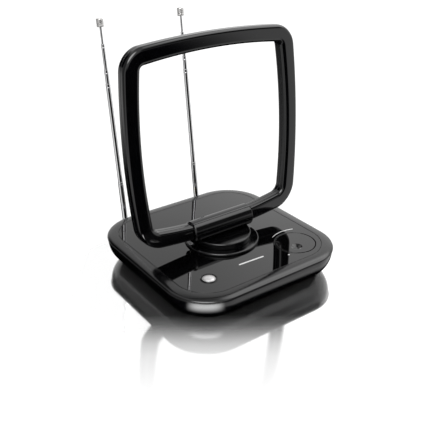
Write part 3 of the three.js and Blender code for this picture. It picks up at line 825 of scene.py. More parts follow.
    def fittings(self) -> None:
        """Four feet with a worn lower edge and a moulded dish, and four cross-head screws."""
        for name in self.corners():
            x, y, _ = self.bench.middle(f"foot_{name}")
            foot = solid_of_revolution(
                [(0, 0.35), (3.2, 0.35), (3.8, 0), (7, 0), (7, 3.5), (0, 3.5)], [0.3, 0.2, 0.8, 0.3], 64,
            )
            self.bench.place(f"rubber_foot_{name}", foot.moved(None, (x, y, 0)), FOOT_RUBBER, self.body,
                             [f"foot_{name}"])
            x, y, _ = self.bench.middle(f"case_screw_{name}")
            screw = solid_of_revolution(
                [(0, 3.6), (2.9, 3.6), (2.9, 5.7), (1.35, 5.7), (1.35, 20), (0, 20.8)],
                [0.6, 0.1, 0.1, 0.1], 48,
            ).moved(None, (x, y, 0))
            mesh = self.bench.carved(f"tub_screw_{name}", screw, cut=cross_recess(x, y, 3.0, 5.0))
            self.bench.place(f"tub_screw_{name}", mesh, SCREW_STEEL, self.body, [f"case_screw_{name}"])

    def build(self) -> None:
        """Make every piece of the case."""
        self.tub()
        self.rim()
        self.plate()
        self.fittings()


def cross_recess(x: float, y: float, low: float, high: float, span: float = 3.0,
                 width: float = 0.7) -> list[Skin]:
    """The two crossing bars that are cut into a screw's head."""
    return [
        slab(rectangle(a, b, 0.2, x, y, 4), low, high, 0.05, 2)
        for a, b in ((span, width), (width, span))
    ]


@dataclass
class Marks:
    """The pale printing on the plate: the gain arc that grows thicker, a dot and a plain badge line."""

    bench: Bench
    lift: float = 0.03
    sunk: float = 0.2
    # The arc's angle, its distance from the knob's middle and its half width, at its two ends and middle.
    arc_deg: tuple[float, float, float] = (119.0, 81.0, 53.0)
    arc_radius: tuple[float, float, float] = (23.1, 24.3, 26.8)
    arc_half_width: tuple[float, float] = (0.25, 0.75)
    dot: tuple[float, float, float] = (24.0, -146.0, 0.8)
    badge_middle: tuple[float, float] = (-2.6, -53.9)
    badge_size: tuple[float, float] = (28.0, 1.9)
    badge_turn_deg: float = -2.6
    body: str = "base"

    def strip(self, line: Array, half_width: Array) -> Skin:
        """A thin raised strip along a line, round at both ends.

        Formula: the edges stand half_width to either side of the line along its normal, where the
        half width shrinks to nothing at each end as the root of 1 - (distance to the end's centre /
        the end's half width) squared.
        """
        tangent = np.gradient(line, axis=0)
        tangent /= np.linalg.norm(tangent, axis=1)[:, None]
        normal = np.column_stack([-tangent[:, 1], tangent[:, 0]])
        along = np.concatenate([[0], np.cumsum(np.linalg.norm(np.diff(line, axis=0), axis=1))])
        to_end = np.minimum(along / half_width[0], (along[-1] - along) / half_width[-1])
        taper = np.sqrt(np.clip(1 - (1 - np.clip(to_end, 0, 1)) ** 2, 1e-4, 1))
        edge = normal * (half_width * taper)[:, None]
        top = self.bench.box("top_plate")[1][2]
        heights = top + np.array([-self.sunk, self.lift, self.lift, -self.sunk])
        sides = np.stack([line - edge, line - edge * 0.96, line + edge * 0.96, line + edge], axis=1)
        grid = np.concatenate([sides, np.broadcast_to(heights[:, None], sides.shape[:2] + (1,))], axis=-1)
        skin = Skin().grid(grid, loop_v=True)
        ends = np.array([[0, 1, 2, 3]])
        return skin.add(grid[0], ends).add(grid[-1], ends)

    def gain_arc(self) -> None:
        """A curve through three points about the knob, as a parabola of the radius over the angle."""
        knob = self.bench.middle("gain_knob")[:2]
        share = np.linspace(0, 1, 65)
        angle = np.radians(self.arc_deg[0] + (self.arc_deg[2] - self.arc_deg[0]) * share)
        middle = (self.arc_deg[1] - self.arc_deg[0]) / (self.arc_deg[2] - self.arc_deg[0])
        curve = np.polyfit([0, middle, 1], self.arc_radius, 2)
        radius = np.polyval(curve, share)
        line = knob + radius[:, None] * np.column_stack([np.cos(angle), np.sin(angle)])
        thin, thick = self.arc_half_width
        self.bench.place("printed_gain_arc", self.strip(line, thin + (thick - thin) * share), INK, self.body)

    def build(self) -> None:
        """Print the arc, the dot and the badge line."""
        self.gain_arc()
        x, y, _ = self.bench.middle("gain_knob")
        top = self.bench.box("top_plate")[1][2]
        distance, degrees, radius = self.dot
        angle = math.radians(degrees)
        bottom, face = top - self.sunk, top + self.lift
        dot = solid_of_revolution(
            [(0, bottom), (radius, bottom), (radius, face), (0, face)], [0, 0.01], 40, 2,
        )
        at = (x + distance * math.cos(angle), y + distance * math.sin(angle), 0)
        self.bench.place("printed_minimum_dot", dot.moved(None, at), INK, self.body)
        length, width = self.badge_size
        turn = math.radians(self.badge_turn_deg)
        share = np.linspace(-0.5, 0.5, 49)[:, None] * length
        line = np.array(self.badge_middle) + share * np.array([math.cos(turn), math.sin(turn)])
        self.bench.place("printed_badge_line", self.strip(line, np.full(49, width / 2)), INK, self.body)


@dataclass
class Controls:
    """The gain knob with its finger dimple, and the power button in its collar."""

    bench: Bench
    knob_radius: float = 18.9
    knob_edge: float = 0.5
    dimple: tuple[float, float, float] = (7.5, -123.0, 4.8)
    dimple_depth: float = 1.4
    dimple_lip: float = 0.9

    def knob(self) -> None:
        """A flat disc that lies level with the plate, with a hub below and a round dimple.

        The dimple's floor is a ball's cap: depth below the face = cap height * (1 - (r / R) squared)
        near enough, and a small fillet rolls it into the face.
        """
        x, y, _ = self.bench.middle("gain_knob")
        low, high = self.bench.box("gain_knob")
        top, bottom, radius = high[2], 26.5, self.knob_radius
        deep = self.knob_edge + 2 * SUPPORT
        outer = filleted(
            [(radius - deep, top), (radius, top), (radius, bottom), (4.6, bottom), (4.6, low[2]),
             (2.95, low[2]), (2.95, 25.0), (0, 25.0)],
            [self.knob_edge, 0.3, 0.4, 0.3, 0.0, 0.0],
        )
        distance, degrees, mouth = self.dimple
        angle = math.radians(degrees)
        at = (distance * math.cos(angle), distance * math.sin(angle))
        reach = np.linspace(0, 1, 25)
        bowl_radius = (mouth + self.dimple_lip) * np.sin(reach * math.pi / 2)
        share = bowl_radius / (mouth + self.dimple_lip)
        bowl = np.column_stack([bowl_radius, top - self.dimple_depth * (1 - share**2) ** 1.6])
        bowl = np.vstack([bowl, [[mouth + self.dimple_lip + SUPPORT, top]]])
        skin = Skin().turned(outer, 160).turned(bowl, 96, *at)
        skin.fill(circle(radius - deep, top, segments=160), circle(bowl[-1][0], top, *at, segments=96))
        self.bench.place("knob_disc", skin.moved(None, (x, y, 0)), PLATE_BLACK, "knob", ["gain_knob"])
        self.bench.dress("pot_shaft", SOCKET_BRASS)

    def button(self) -> None:
        """A silver domed cap on its plunger, inside a turned collar that stands on the plate."""
        x, y, _ = self.bench.middle("power_button")
        low, high = self.bench.box("power_button")
        rim_top = self.bench.box("button_bezel")[1][2]
        radius, shoulder, top = 5.9, rim_top - 0.75, high[2]
        ball = np.linspace(0, 1, 17)[:, None]
        spring = shoulder + 0.35
        dome = np.hstack([
            (radius - 0.55) * np.cos(ball * math.pi / 2),
            spring + (top - spring) * np.sin(ball * math.pi / 2),
        ])
        stem = filleted(
            [(0, low[2]), (1.5, low[2]), (1.5, 24.5), (radius, 24.5), (radius, shoulder + 0.2), dome[0]],
            [0.2, 0.2, 0.3, 0.3],
        )
        cap = Skin().turned(np.vstack([stem[:-1], dome]), 96)
        self.bench.place("button_cap", cap.moved(None, (x, y, 0)), BUTTON_SILVER, "button", ["power_button"])
        plate_top = self.bench.box("top_plate")[1][2]
        bore, sleeve, flange = 6.15, 7.2, 7.66
        seat = plate_top + 0.08
        collar = solid_of_revolution(
            [(bore, 26.0), (bore, 24), (sleeve, 24), (sleeve, seat), (flange, seat),
             (flange, plate_top + 0.25), (6.95, rim_top), (bore, rim_top), (bore, 26.0)],
            [0.1, 0.1, 0.0, 0.1, 0.1, 0.2, 0.3], 96, closed=True,
        ).moved(None, (x, y, 0))
        self.bench.place("button_collar", collar, COLLAR_BLACK, "base", ["button_bezel"])

    def build(self) -> None:
        """Make the knob, the button and its collar."""
        self.knob()
        self.button()


# ---------------------------------------------------------------- pedestal
@dataclass
class Pedestal:
    """The swivelling pedestal: a fixed ring, a drum that turns on it and the hinge barrel with its cap."""

    bench: Bench
    ring_radius: float = 35.7
    drum_radius: float = 28.0
    barrel_radius: float = 10.5
    barrel_bevel: float = 1.2
    bore: float = 9.1
    bar_hole: float = 4.6
    end_wall: float = 2.5
    split_deg: float = 67.0
    barrel_step_deg: float = 2.5
    gap: float = 0.3
    body: str = "pedestal"

    def __post_init__(self) -> None:
        """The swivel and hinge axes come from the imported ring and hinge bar."""
        self.x, self.y, _ = self.bench.middle("swivel_ring")
        self.hinge = self.bench.middle("hinge_bar")
        self.half = self.bench.box("turntable")[1][0]
        self.drum_top = self.bench.box("hinge_cap")[0][2] - self.gap

    def ring(self) -> None:
        """The fixed ring that the drum turns on, with a broad rounded shoulder."""
        low, high = self.bench.box("swivel_ring")
        bore = 8.1
        ring = solid_of_revolution(
            [(bore, 30.4), (bore, low[2]), (self.ring_radius, low[2]), (self.ring_radius, high[2]),
             (bore, high[2]), (bore, 30.4)],
            [0.2, 0.2, 1.35, 0.3], 160, 10, closed=True,
        ).moved(None, (self.x, self.y, 0))
        self.bench.place("pedestal_ring", ring, PEDESTAL_BLACK, "base", ["swivel_ring"])

    def barrel_sector(self, start_deg: float, end_deg: float) -> Skin:
        """Part of the barrel's wall: its lengthwise section carried round the hinge axis.

        Formula: at the angle a up from the front, a point of the section at length x and radius r is
        (x, hinge y - r * cos a, hinge z + r * sin a).

        Args:
            start_deg: The first angle.
            end_deg: The last angle.

        Returns:
            The closed skin of the sector.
        """
        half, radius, bevel = self.half, self.barrel_radius, self.barrel_bevel
        inner = half - self.end_wall
        corners = [
            (0, self.bore), (-inner, self.bore), (-inner, self.bar_hole), (-half, self.bar_hole),
            (-half, radius - bevel), (-half + bevel, radius), (half - bevel, radius),
            (half, radius - bevel), (half, self.bar_hole), (inner, self.bar_hole), (inner, self.bore),
            (0, self.bore),
        ]
        section = filleted(corners, [0, 0, 0.2, 0.5, 0.7, 0.7, 0.5, 0.2, 0, 0], 5)[:-1]
        stations = max(8, int(abs(end_deg - start_deg) / self.barrel_step_deg))
        angle = np.radians(np.linspace(start_deg, end_deg, stations))[:, None]
        length, reach = section.T
        lengths = np.broadcast_to(length, (stations, len(length)))
        grid = np.stack([lengths, -reach * np.cos(angle), reach * np.sin(angle)], axis=-1)
        grid = grid + np.array([0, self.hinge[1], self.hinge[2]])
        return Skin().carried(grid, section)

    def turntable(self) -> None:
        """The drum, joined to the front and lower part of the barrel, and hollowed for the hinge."""
        bottom = self.bench.box("turntable")[0][2]
        drum = solid_of_revolution(
            [(0, bottom), (self.drum_radius, bottom), (self.drum_radius, self.drum_top), (0, self.drum_top)],
            [0.3, 1.15], 160, 10,
        ).moved(None, (self.x, self.y, 0))
        split_gap = math.degrees(self.gap / self.barrel_radius)
        sector = self.barrel_sector(self.split_deg - split_gap, -92.0)
        bore = cylinder(self.bore, -self.half + self.end_wall, self.half - self.end_wall, segments=96)
        screws = [self.bench.middle(f"cap_screw_{side.word}") for side in Side]
        cuts = [
            bore.moved(ALONG_X, (0, self.hinge[1], self.hinge[2])),
            cylinder(8.3, 30, 34.3, self.x, self.y), cylinder(2.5, 30, 40, self.x, self.y),
            *(cylinder(1.45, 32.8, 40, *screw[:2]) for screw in screws),
        ]
        mesh = self.bench.carved("turntable_drum", drum, [sector], cuts)
        self.bench.place("turntable_drum", mesh, PEDESTAL_BLACK, self.body, ["turntable"])

    def cap(self) -> None:
        """The rear and upper part of the barrel, with the flange that two screws hold down."""
        low = self.bench.box("hinge_cap")[0][2]
        lowest = 180 + math.degrees(math.asin((self.hinge[2] - low) / self.barrel_radius))
        sector = self.barrel_sector(self.split_deg, lowest)
        screws = [self.bench.middle(f"cap_screw_{side.word}") for side in Side]
        front, back = self.hinge[1] + 9.25, self.bench.box("hinge_cap")[1][1]
        flange = slab(rectangle(26.0, back - front, 1.4, 0.0, (front + back) / 2), low, low + 2.5, 0.35)
        mesh = self.bench.carved(
            "barrel_cap", sector, [flange], [cylinder(1.5, 30, 50, *screw[:2]) for screw in screws],
        )
        self.bench.place("barrel_cap", mesh, PEDESTAL_BLACK, self.body, ["hinge_cap"])
        seat = low + 2.5 + self.gap
        for side, (x, y, _) in zip(Side, screws):
            screw = solid_of_revolution(
                [(0, 33.4), (1.2, 34), (1.2, seat), (2.5, seat), (2.5, seat + 1.75), (0, seat + 1.78)],
                [0.1, 0.1, 0.1, 0.9], 48,
            )
            head = cross_recess(x, y, seat + 0.8, seat + 3.0, 2.8, 0.65)
            name = f"barrel_screw_{side.word}"
            mesh = self.bench.carved(name, screw.moved(None, (x, y, 0)), cut=head)
            self.bench.place(name, mesh, SCREW_STEEL, self.body, [f"cap_screw_{side.word}"])

    def build(self) -> None:
        """Make the ring, the drum and the cap, and dress what is inside."""
        self.ring()
        self.turntable()
        self.cap()
        for node, finish in (
            ("swivel_spindle", SATIN_BLACK), ("friction_washer", SCREW_STEEL), ("retaining_nut", BUSH_NYLON),
            ("friction_bush_left", BUSH_NYLON), ("friction_bush_right", BUSH_NYLON),
        ):
            self.bench.dress(node, finish)


# ---------------------------------------------------------------- loop
@dataclass
class Loop:
    """The rounded square loop: two half shells that meet on a parting line all round."""

    bench: Bench
    half_width: float = 86.0
    half_height: float = 86.2
    side_bulge: float = 6.0
    top_bulge: float = 5.6
    bottom_bulge: float = 7.6
    top_corner: float = 10.0
    bottom_corner: float = 13.0
    tube: tuple[float, float] = (7.0, 6.75)
    edge: tuple[float, float] = (3.4, 3.8)
    cavity: tuple[float, float] = (4.5, 4.5)
    arm_start: float = 34.1
    plug_end: float = 46.0
    lean_deg: float = 4.28
    parting: float = 0.15
    lip: float = 0.25
    bar_bore: float = 4.5
    bar_gap: float = 0.3
    body: str = "loop"

    def bowed(self, offset: Array, dx: Array, dy: Array, bulge: float) -> tuple[Array, Array]:
        """Where a point dx and dy from the meeting of two bowed sides lies.

        Formula: x = a - side bulge * (y / b) squared + dx and y = b - bulge * (x / a) squared + dy,
        where a and b are the loop's half sizes plus the offset. The pair is solved by going round.
        """
        a, b = self.half_width + offset, self.half_height + offset
        x, y = a + dx, b + dy
        for _ in range(12):
            x = a - self.side_bulge * (y / b) ** 2 + dx
            y = b - bulge * (x / a) ** 2 + dy
        return x, y

    def quadrant(self, offset: Array, corner: float, bulge: float, start_x: float,
                 steps: tuple[int, int, int]) -> Array:
        """A quarter of the loop, from the middle of its top or bottom round a corner to its side.

        Args:
            offset: Distances from the centre line, one for each point of the section.
            corner: The corner's radius on the centre line.
            bulge: How far the top or bottom bows out.
            start_x: Where it starts along the top or bottom.
            steps: Steps along the end, round the corner and along the side.

        Returns:
            An array of shape (stations, offsets, 2).
        """
        a, b = self.half_width + offset, self.half_height + offset
        radius = corner + offset
        zero = np.zeros_like(offset)
        end_x, _ = self.bowed(offset, -radius, zero, bulge)
        _, side_y = self.bowed(offset, zero, -radius, bulge)
        share = np.linspace(0, 1, steps[0], endpoint=False)[:, None]
        x = start_x + (end_x - start_x) * share
        along_end = np.stack([x, b - bulge * (x / a) ** 2], axis=-1)
        turn = np.linspace(math.pi / 2, 0, steps[1], endpoint=False)[:, None]
        round_corner = np.stack(
            self.bowed(offset, radius * (np.cos(turn) - 1), radius * (np.sin(turn) - 1), bulge), axis=-1
        )
        share = np.linspace(1, 0, steps[2])[:, None]
        y = side_y * share
        along_side = np.stack([a - self.side_bulge * (y / b) ** 2, y], axis=-1)
        return np.concatenate([along_end, round_corner, along_side])

    def path(self, offset: Array, start_x: float) -> Array:
        """The loop from start_x at the bottom right all round to start_x at the bottom left."""
        bottom = self.quadrant(offset, self.bottom_corner, self.bottom_bulge, start_x, (18, 24, 28))
        top = self.quadrant(offset, self.top_corner, self.top_bulge, 0.0, (30, 20, 28))
        right = np.concatenate([bottom * np.array([1, -1]), top[::-1][1:]])
        left = right[::-1][1:] * np.array([-1, 1])
        return np.concatenate([right, left]) + np.array([0, self.half_height])

    def swept(self, section: Array, start_x: float) -> Skin:
        """A closed section of (offset, depth) carried along the loop and capped at both ends.

        The loop's own frame has the hinge axis along X, so depth is along Y and the path is upright.
        """
        offset, depth = section.T
        path = self.path(offset, start_x)
        grid = np.stack([path[..., 0], np.broadcast_to(depth, path.shape[:2]), path[..., 1]], axis=-1)
        return Skin().carried(grid, section).moved(leaned(self.lean_deg), self.bench.middle("hinge_bar"))

    def shell(self, name: str, facing: int) -> None:
        """One half shell: a rounded outside, a cavity for the element and a bore for the hinge bar.

        Args:
            name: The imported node's name.
            facing: -1 for the front half and 1 for the rear half.
        """
        width, depth = self.tube
        edge_in, edge_deep = self.edge
        rise = depth - edge_deep
        lip = filleted([(0, self.parting), (width, self.parting), (width, rise - 0.2)], [self.lip], 4)[:-1]
        outer = np.vstack([lip, quarter_ellipse((width, rise), (width - edge_in, depth), 12)])
        section = np.vstack([outer[1:], (outer * np.array([-1, 1]))[::-1][:-1]])
        cave, deep = self.cavity
        cavity = np.array([(-cave, -1.0), (cave, -1.0), (cave, deep), (-cave, deep)])
        face = np.array([1, facing])
        low, high = self.bench.box("hinge_bar")
        reach = (high[0] - low[0]) / 2 + self.bar_gap
        bar = cylinder(self.bar_bore, -reach, reach).moved(ALONG_X, (low + high) / 2)
        shell = self.swept(section * face, self.arm_start)
        mesh = self.bench.carved(name, shell, cut=[self.swept(cavity * face, self.plug_end), bar])
        self.bench.place(name + "_moulding", mesh, LOOP_BLACK, self.body, [name])

    def build(self) -> None:
        """Make both shells and dress the element and the hinge bar."""
        self.shell("loop_front_shell", -1)
        self.shell("loop_rear_shell", 1)
        self.bench.dress("loop_element", SOCKET_BRASS)
        self.bench.dress("hinge_bar", SCREW_STEEL)


# ---------------------------------------------------------------- rods
@dataclass
class Rod:
    """One telescopic rod: its socket in the base, a knuckle that swings, and four sliding sections."""

    bench: Bench
    side: Side
    lean_deg: float = 6.8
    # Each section's outer and inner radius, and where it starts and ends along the rod.
    sections: tuple[tuple[float, float, float, float], ...] = (
        (2.4, 2.15, 38.3, 150.2), (2.1, 1.8, 63.7, 163.7), (1.75, 1.15, 90.0, 188.2),
        (1.1, 0.0, 105.0, 208.7),
    )
    ear: tuple[float, float, float] = (1.9, 4.2, 4.1)
    pin_hole: float = 1.3

    def __post_init__(self) -> None:
        """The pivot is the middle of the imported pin."""
        self.word = self.side.word
        self.pivot = self.bench.middle(f"rod_{self.word}_pivot_pin")

    def upright(self, skin: Skin) -> Skin:
        """Stand a skin made about Z on the pivot, leaned back as the rod is."""
        return skin.moved(leaned(self.lean_deg), self.pivot)

    def socket(self) -> None:
        """The bushing in the rear wall: a sleeve with a collar outside."""
        low, high = self.bench.box(f"rod_socket_{self.word}")
        length = high[1] - low[1]
        sleeve = solid_of_revolution(
            [(4.1, 8), (4.1, 0), (5.2, 0), (5.2, 10.4), (6.3, 10.4), (6.3, length), (4.1, length), (4.1, 8)],
            [0.1, 0.1, 0, 0.2, 0.8, 0.3], 96, closed=True,
        ).moved(ALONG_Y, (self.pivot[0], low[1], self.pivot[2]))
        self.bench.place(f"rod_bushing_{self.word}", sleeve, SATIN_BLACK, "base", [f"rod_socket_{self.word}"])

    def knuckle(self) -> None:
        """A spigot and flange that turn in the bushing, with two round ears for the pin."""
        node = f"rod_{self.word}_knuckle"
        front = self.bench.box(node)[0][1] - self.pivot[1]
        flange_front = self.bench.box(f"rod_socket_{self.word}")[1][1] + 0.3 - self.pivot[1]
        near, far, ear_radius = self.ear
        flange_back = flange_front + 2
        turned_part = solid_of_revolution(
            [(0, front), (4.0, front), (4.0, flange_front), (6, flange_front), (6, flange_back),
             (0, flange_back)],
            [0.4, 0, 0.3, 0.5],
        ).moved(ALONG_Y, self.pivot)
        root = flange_front + 1.2

        def ear_outline(inset: float) -> Array:
            """A half round on the pivot that runs into the flange."""
            radius = ear_radius - inset
            angle = np.radians(np.linspace(-90, 90, 33))
            nose = np.column_stack([radius * np.sin(angle), radius * np.cos(angle)])
            return np.vstack([nose, [[radius, root + inset]], [[-radius, root + inset]]])

        # The outline's first coordinate is the object's -z and its second is the object's y.
        ears = [
            slab(ear_outline, *sorted((sign * near, sign * far)), 0.35).moved(ALONG_X, self.pivot)
            for sign in (-1, 1)
        ]
        hole = cylinder(self.pin_hole, -THROUGH, THROUGH, segments=40).moved(ALONG_X, self.pivot)
        mesh = self.bench.carved(f"rod_yoke_{self.word}", turned_part, ears, [hole])
        self.bench.place(f"rod_yoke_{self.word}", mesh, SATIN_BLACK, f"{self.word}_knuckle", [node])
        pin = solid_of_revolution([(0, -4.5), (1.2, -4.5), (1.2, 4.5), (0, 4.5)], [0.3, 0.3], 40)
        self.bench.place(f"rod_pin_{self.word}", pin.moved(ALONG_X, self.pivot), SCREW_STEEL,
                         f"{self.word}_knuckle", [f"rod_{self.word}_pivot_pin"])

    def ferrule(self) -> None:
        """The foot of the rod: a flat tongue between the ears, and a sleeve round the first section."""
        sleeve = solid_of_revolution(
            [(0, 4.6), (2.7, 4.6), (2.7, 46.4), (2.55, 46.8), (2.7, 47.2), (2.7, 49.2), (0, 49.2)],
            [0.6, 0.1, 0.12, 0.1, 0.25], 64,
        )
        tongue = slab(rectangle(6.8, 6.8, 3.39, arc_steps=12), -1.6, 1.6, 0.3).moved(ALONG_X)
        neck = slab(rectangle(3.1, 4.2, 0.5), 0.0, 5.6, 0.1)
        bore = cylinder(2.45, 38, 55, segments=64)
        hole = cylinder(self.pin_hole, -THROUGH, THROUGH, segments=40).moved(ALONG_X)
        name = f"rod_ferrule_{self.word}"
        sleeve, tongue, neck, bore, hole = map(self.upright, (sleeve, tongue, neck, bore, hole))
        mesh = self.bench.carved(name, sleeve, [tongue, neck], [bore, hole])
        self.bench.place(name, mesh, ROD_CHROME, f"{self.word}_rod", [f"rod_{self.word}_ferrule"])

    def section(self, number: int) -> None:
        """A drawn tube whose upper end is rolled in, with the fine crimp line below it."""
        outer, inner, start, end = self.sections[number - 1]
        crimp = min(0.12, outer - inner - 0.08) if inner else 0.1
        outside = [
            (outer, start), (outer, end - 3.4), (outer - crimp, end - 3.15), (outer, end - 2.9), (outer, end),
        ]
        if inner:
            corners = [(inner, start + 5), (inner, start), *outside, (inner, end), (inner, start + 5)]
            lip = min(0.2, (outer - inner) * 0.45)
            radii = [0.03, 0.05, 0.08, 0.08, 0.08, lip, 0.03]
            tube = solid_of_revolution(corners, radii, 64, 4, closed=True)
        else:
            tube = solid_of_revolution([(0, start), (outer, start), (outer, end), (0, end)], [0.1, 0.1], 64)
        body = f"{self.word}_rod" if number == 1 else f"{self.word}_rod_{number}"
        self.bench.place(f"rod_tube_{self.word}_{number}", self.upright(tube), ROD_CHROME, body,
                         [f"rod_{self.word}_section_{number}"])

    def tip(self) -> None:
        """The cap on the thinnest section: a short turned barrel with a grip groove and a soft crown."""
        cap = solid_of_revolution(
            [(0, 209), (1.2, 209), (1.2, 204), (3.5, 204), (3.5, 205.9), (3.25, 206.15), (3.25, 206.45),
             (3.5, 206.7), (3.5, 211.9), (0, 211.9)],
            [0.05, 0.1, 0.5, 0.1, 0.1, 0.1, 0.1, 1.0], 64,
        )
        self.bench.place(f"rod_cap_{self.word}", self.upright(cap), CAP_NICKEL, f"{self.word}_rod_4",
                         [f"rod_{self.word}_tip_cap"])

    def build(self) -> None:
        """Make every piece of the rod from the base outwards."""
        self.socket()
        self.knuckle()
        self.ferrule()
        for number in range(1, len(self.sections) + 1):
            self.section(number)
        self.tip()


# ---------------------------------------------------------------- rear sockets and the pieces inside
@dataclass
class Insides:
    """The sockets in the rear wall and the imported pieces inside, which keep their shape."""

    bench: Bench
    body: str = "base"

    def coax(self) -> None:
        """The aerial socket: a plated barrel with a stepped nose on a square foot."""
        low, high = self.bench.box("coax_socket")
        x = (low[0] + high[0]) / 2
        nose = high[1]
        barrel = solid_of_revolution(
            [(0, 75), (4.8, 75), (4.8, nose), (3.9, nose), (3.9, nose - 6), (2.2, nose - 6),
             (2.2, nose - 1.2), (0.8, nose - 1.2), (0.8, nose - 7), (0, nose - 7)],
            [0.1, 0.4, 0.3, 0.1, 0.1, 0.3, 0.1, 0.0], 64,
        ).moved(ALONG_Y, (x, 0, AERIAL_HEIGHT))
        foot = slab(rectangle(high[0] - low[0], 10.0, 0.5, x, 72.0), low[2], high[2], 0.3)
        mesh = self.bench.carved("aerial_socket", barrel, [foot])
        self.bench.place("aerial_socket", mesh, SOCKET_BRASS, self.body, ["coax_socket"])

    def inlet(self) -> None:
        """The low-voltage inlet: a block with a round nose, a deep bore and its pin."""
        low, high = self.bench.box("power_inlet")
        x = (low[0] + high[0]) / 2
        pin = solid_of_revolution([(0, 75.5), (1.0, 75.5), (1.0, 87.0), (0, 87.0)], [0, 0.3], 40)
        shell = solid_of_revolution(
            [(0, 73), (4.2, 73), (4.2, 88), (3.1, 88), (3.1, 76), (0, 76)], [0, 0.3, 0.2, 0], 64,
        )
        block = slab(rectangle(high[0] - low[0], 13.0, 0.4, x, 74.5), low[2], high[2], 0.3)
        at = (x, 0, SUPPLY_HEIGHT)
        bore = cylinder(3.1, 76, 100).moved(ALONG_Y, at)
        mesh = self.bench.carved("supply_socket", block, [shell.moved(ALONG_Y, at)], [bore])
        self.bench.place("supply_socket", mesh, SATIN_BLACK, self.body, ["power_inlet"])
        self.bench.place("supply_socket_pin", pin.moved(ALONG_Y, at), SCREW_STEEL, self.body)

    def build(self) -> None:
        """Make the sockets and dress the rest."""
        self.coax()
        self.inlet()
        for node, finish in (
            ("ballast_plate", SCREW_STEEL), ("control_board", BOARD_GREEN), ("amplifier_board", BOARD_GREEN),
            ("shield_can", CAN_TIN), ("gain_potentiometer", SATIN_BLACK), ("power_switch", SATIN_BLACK),
        ):
            self.bench.dress(node, finish)


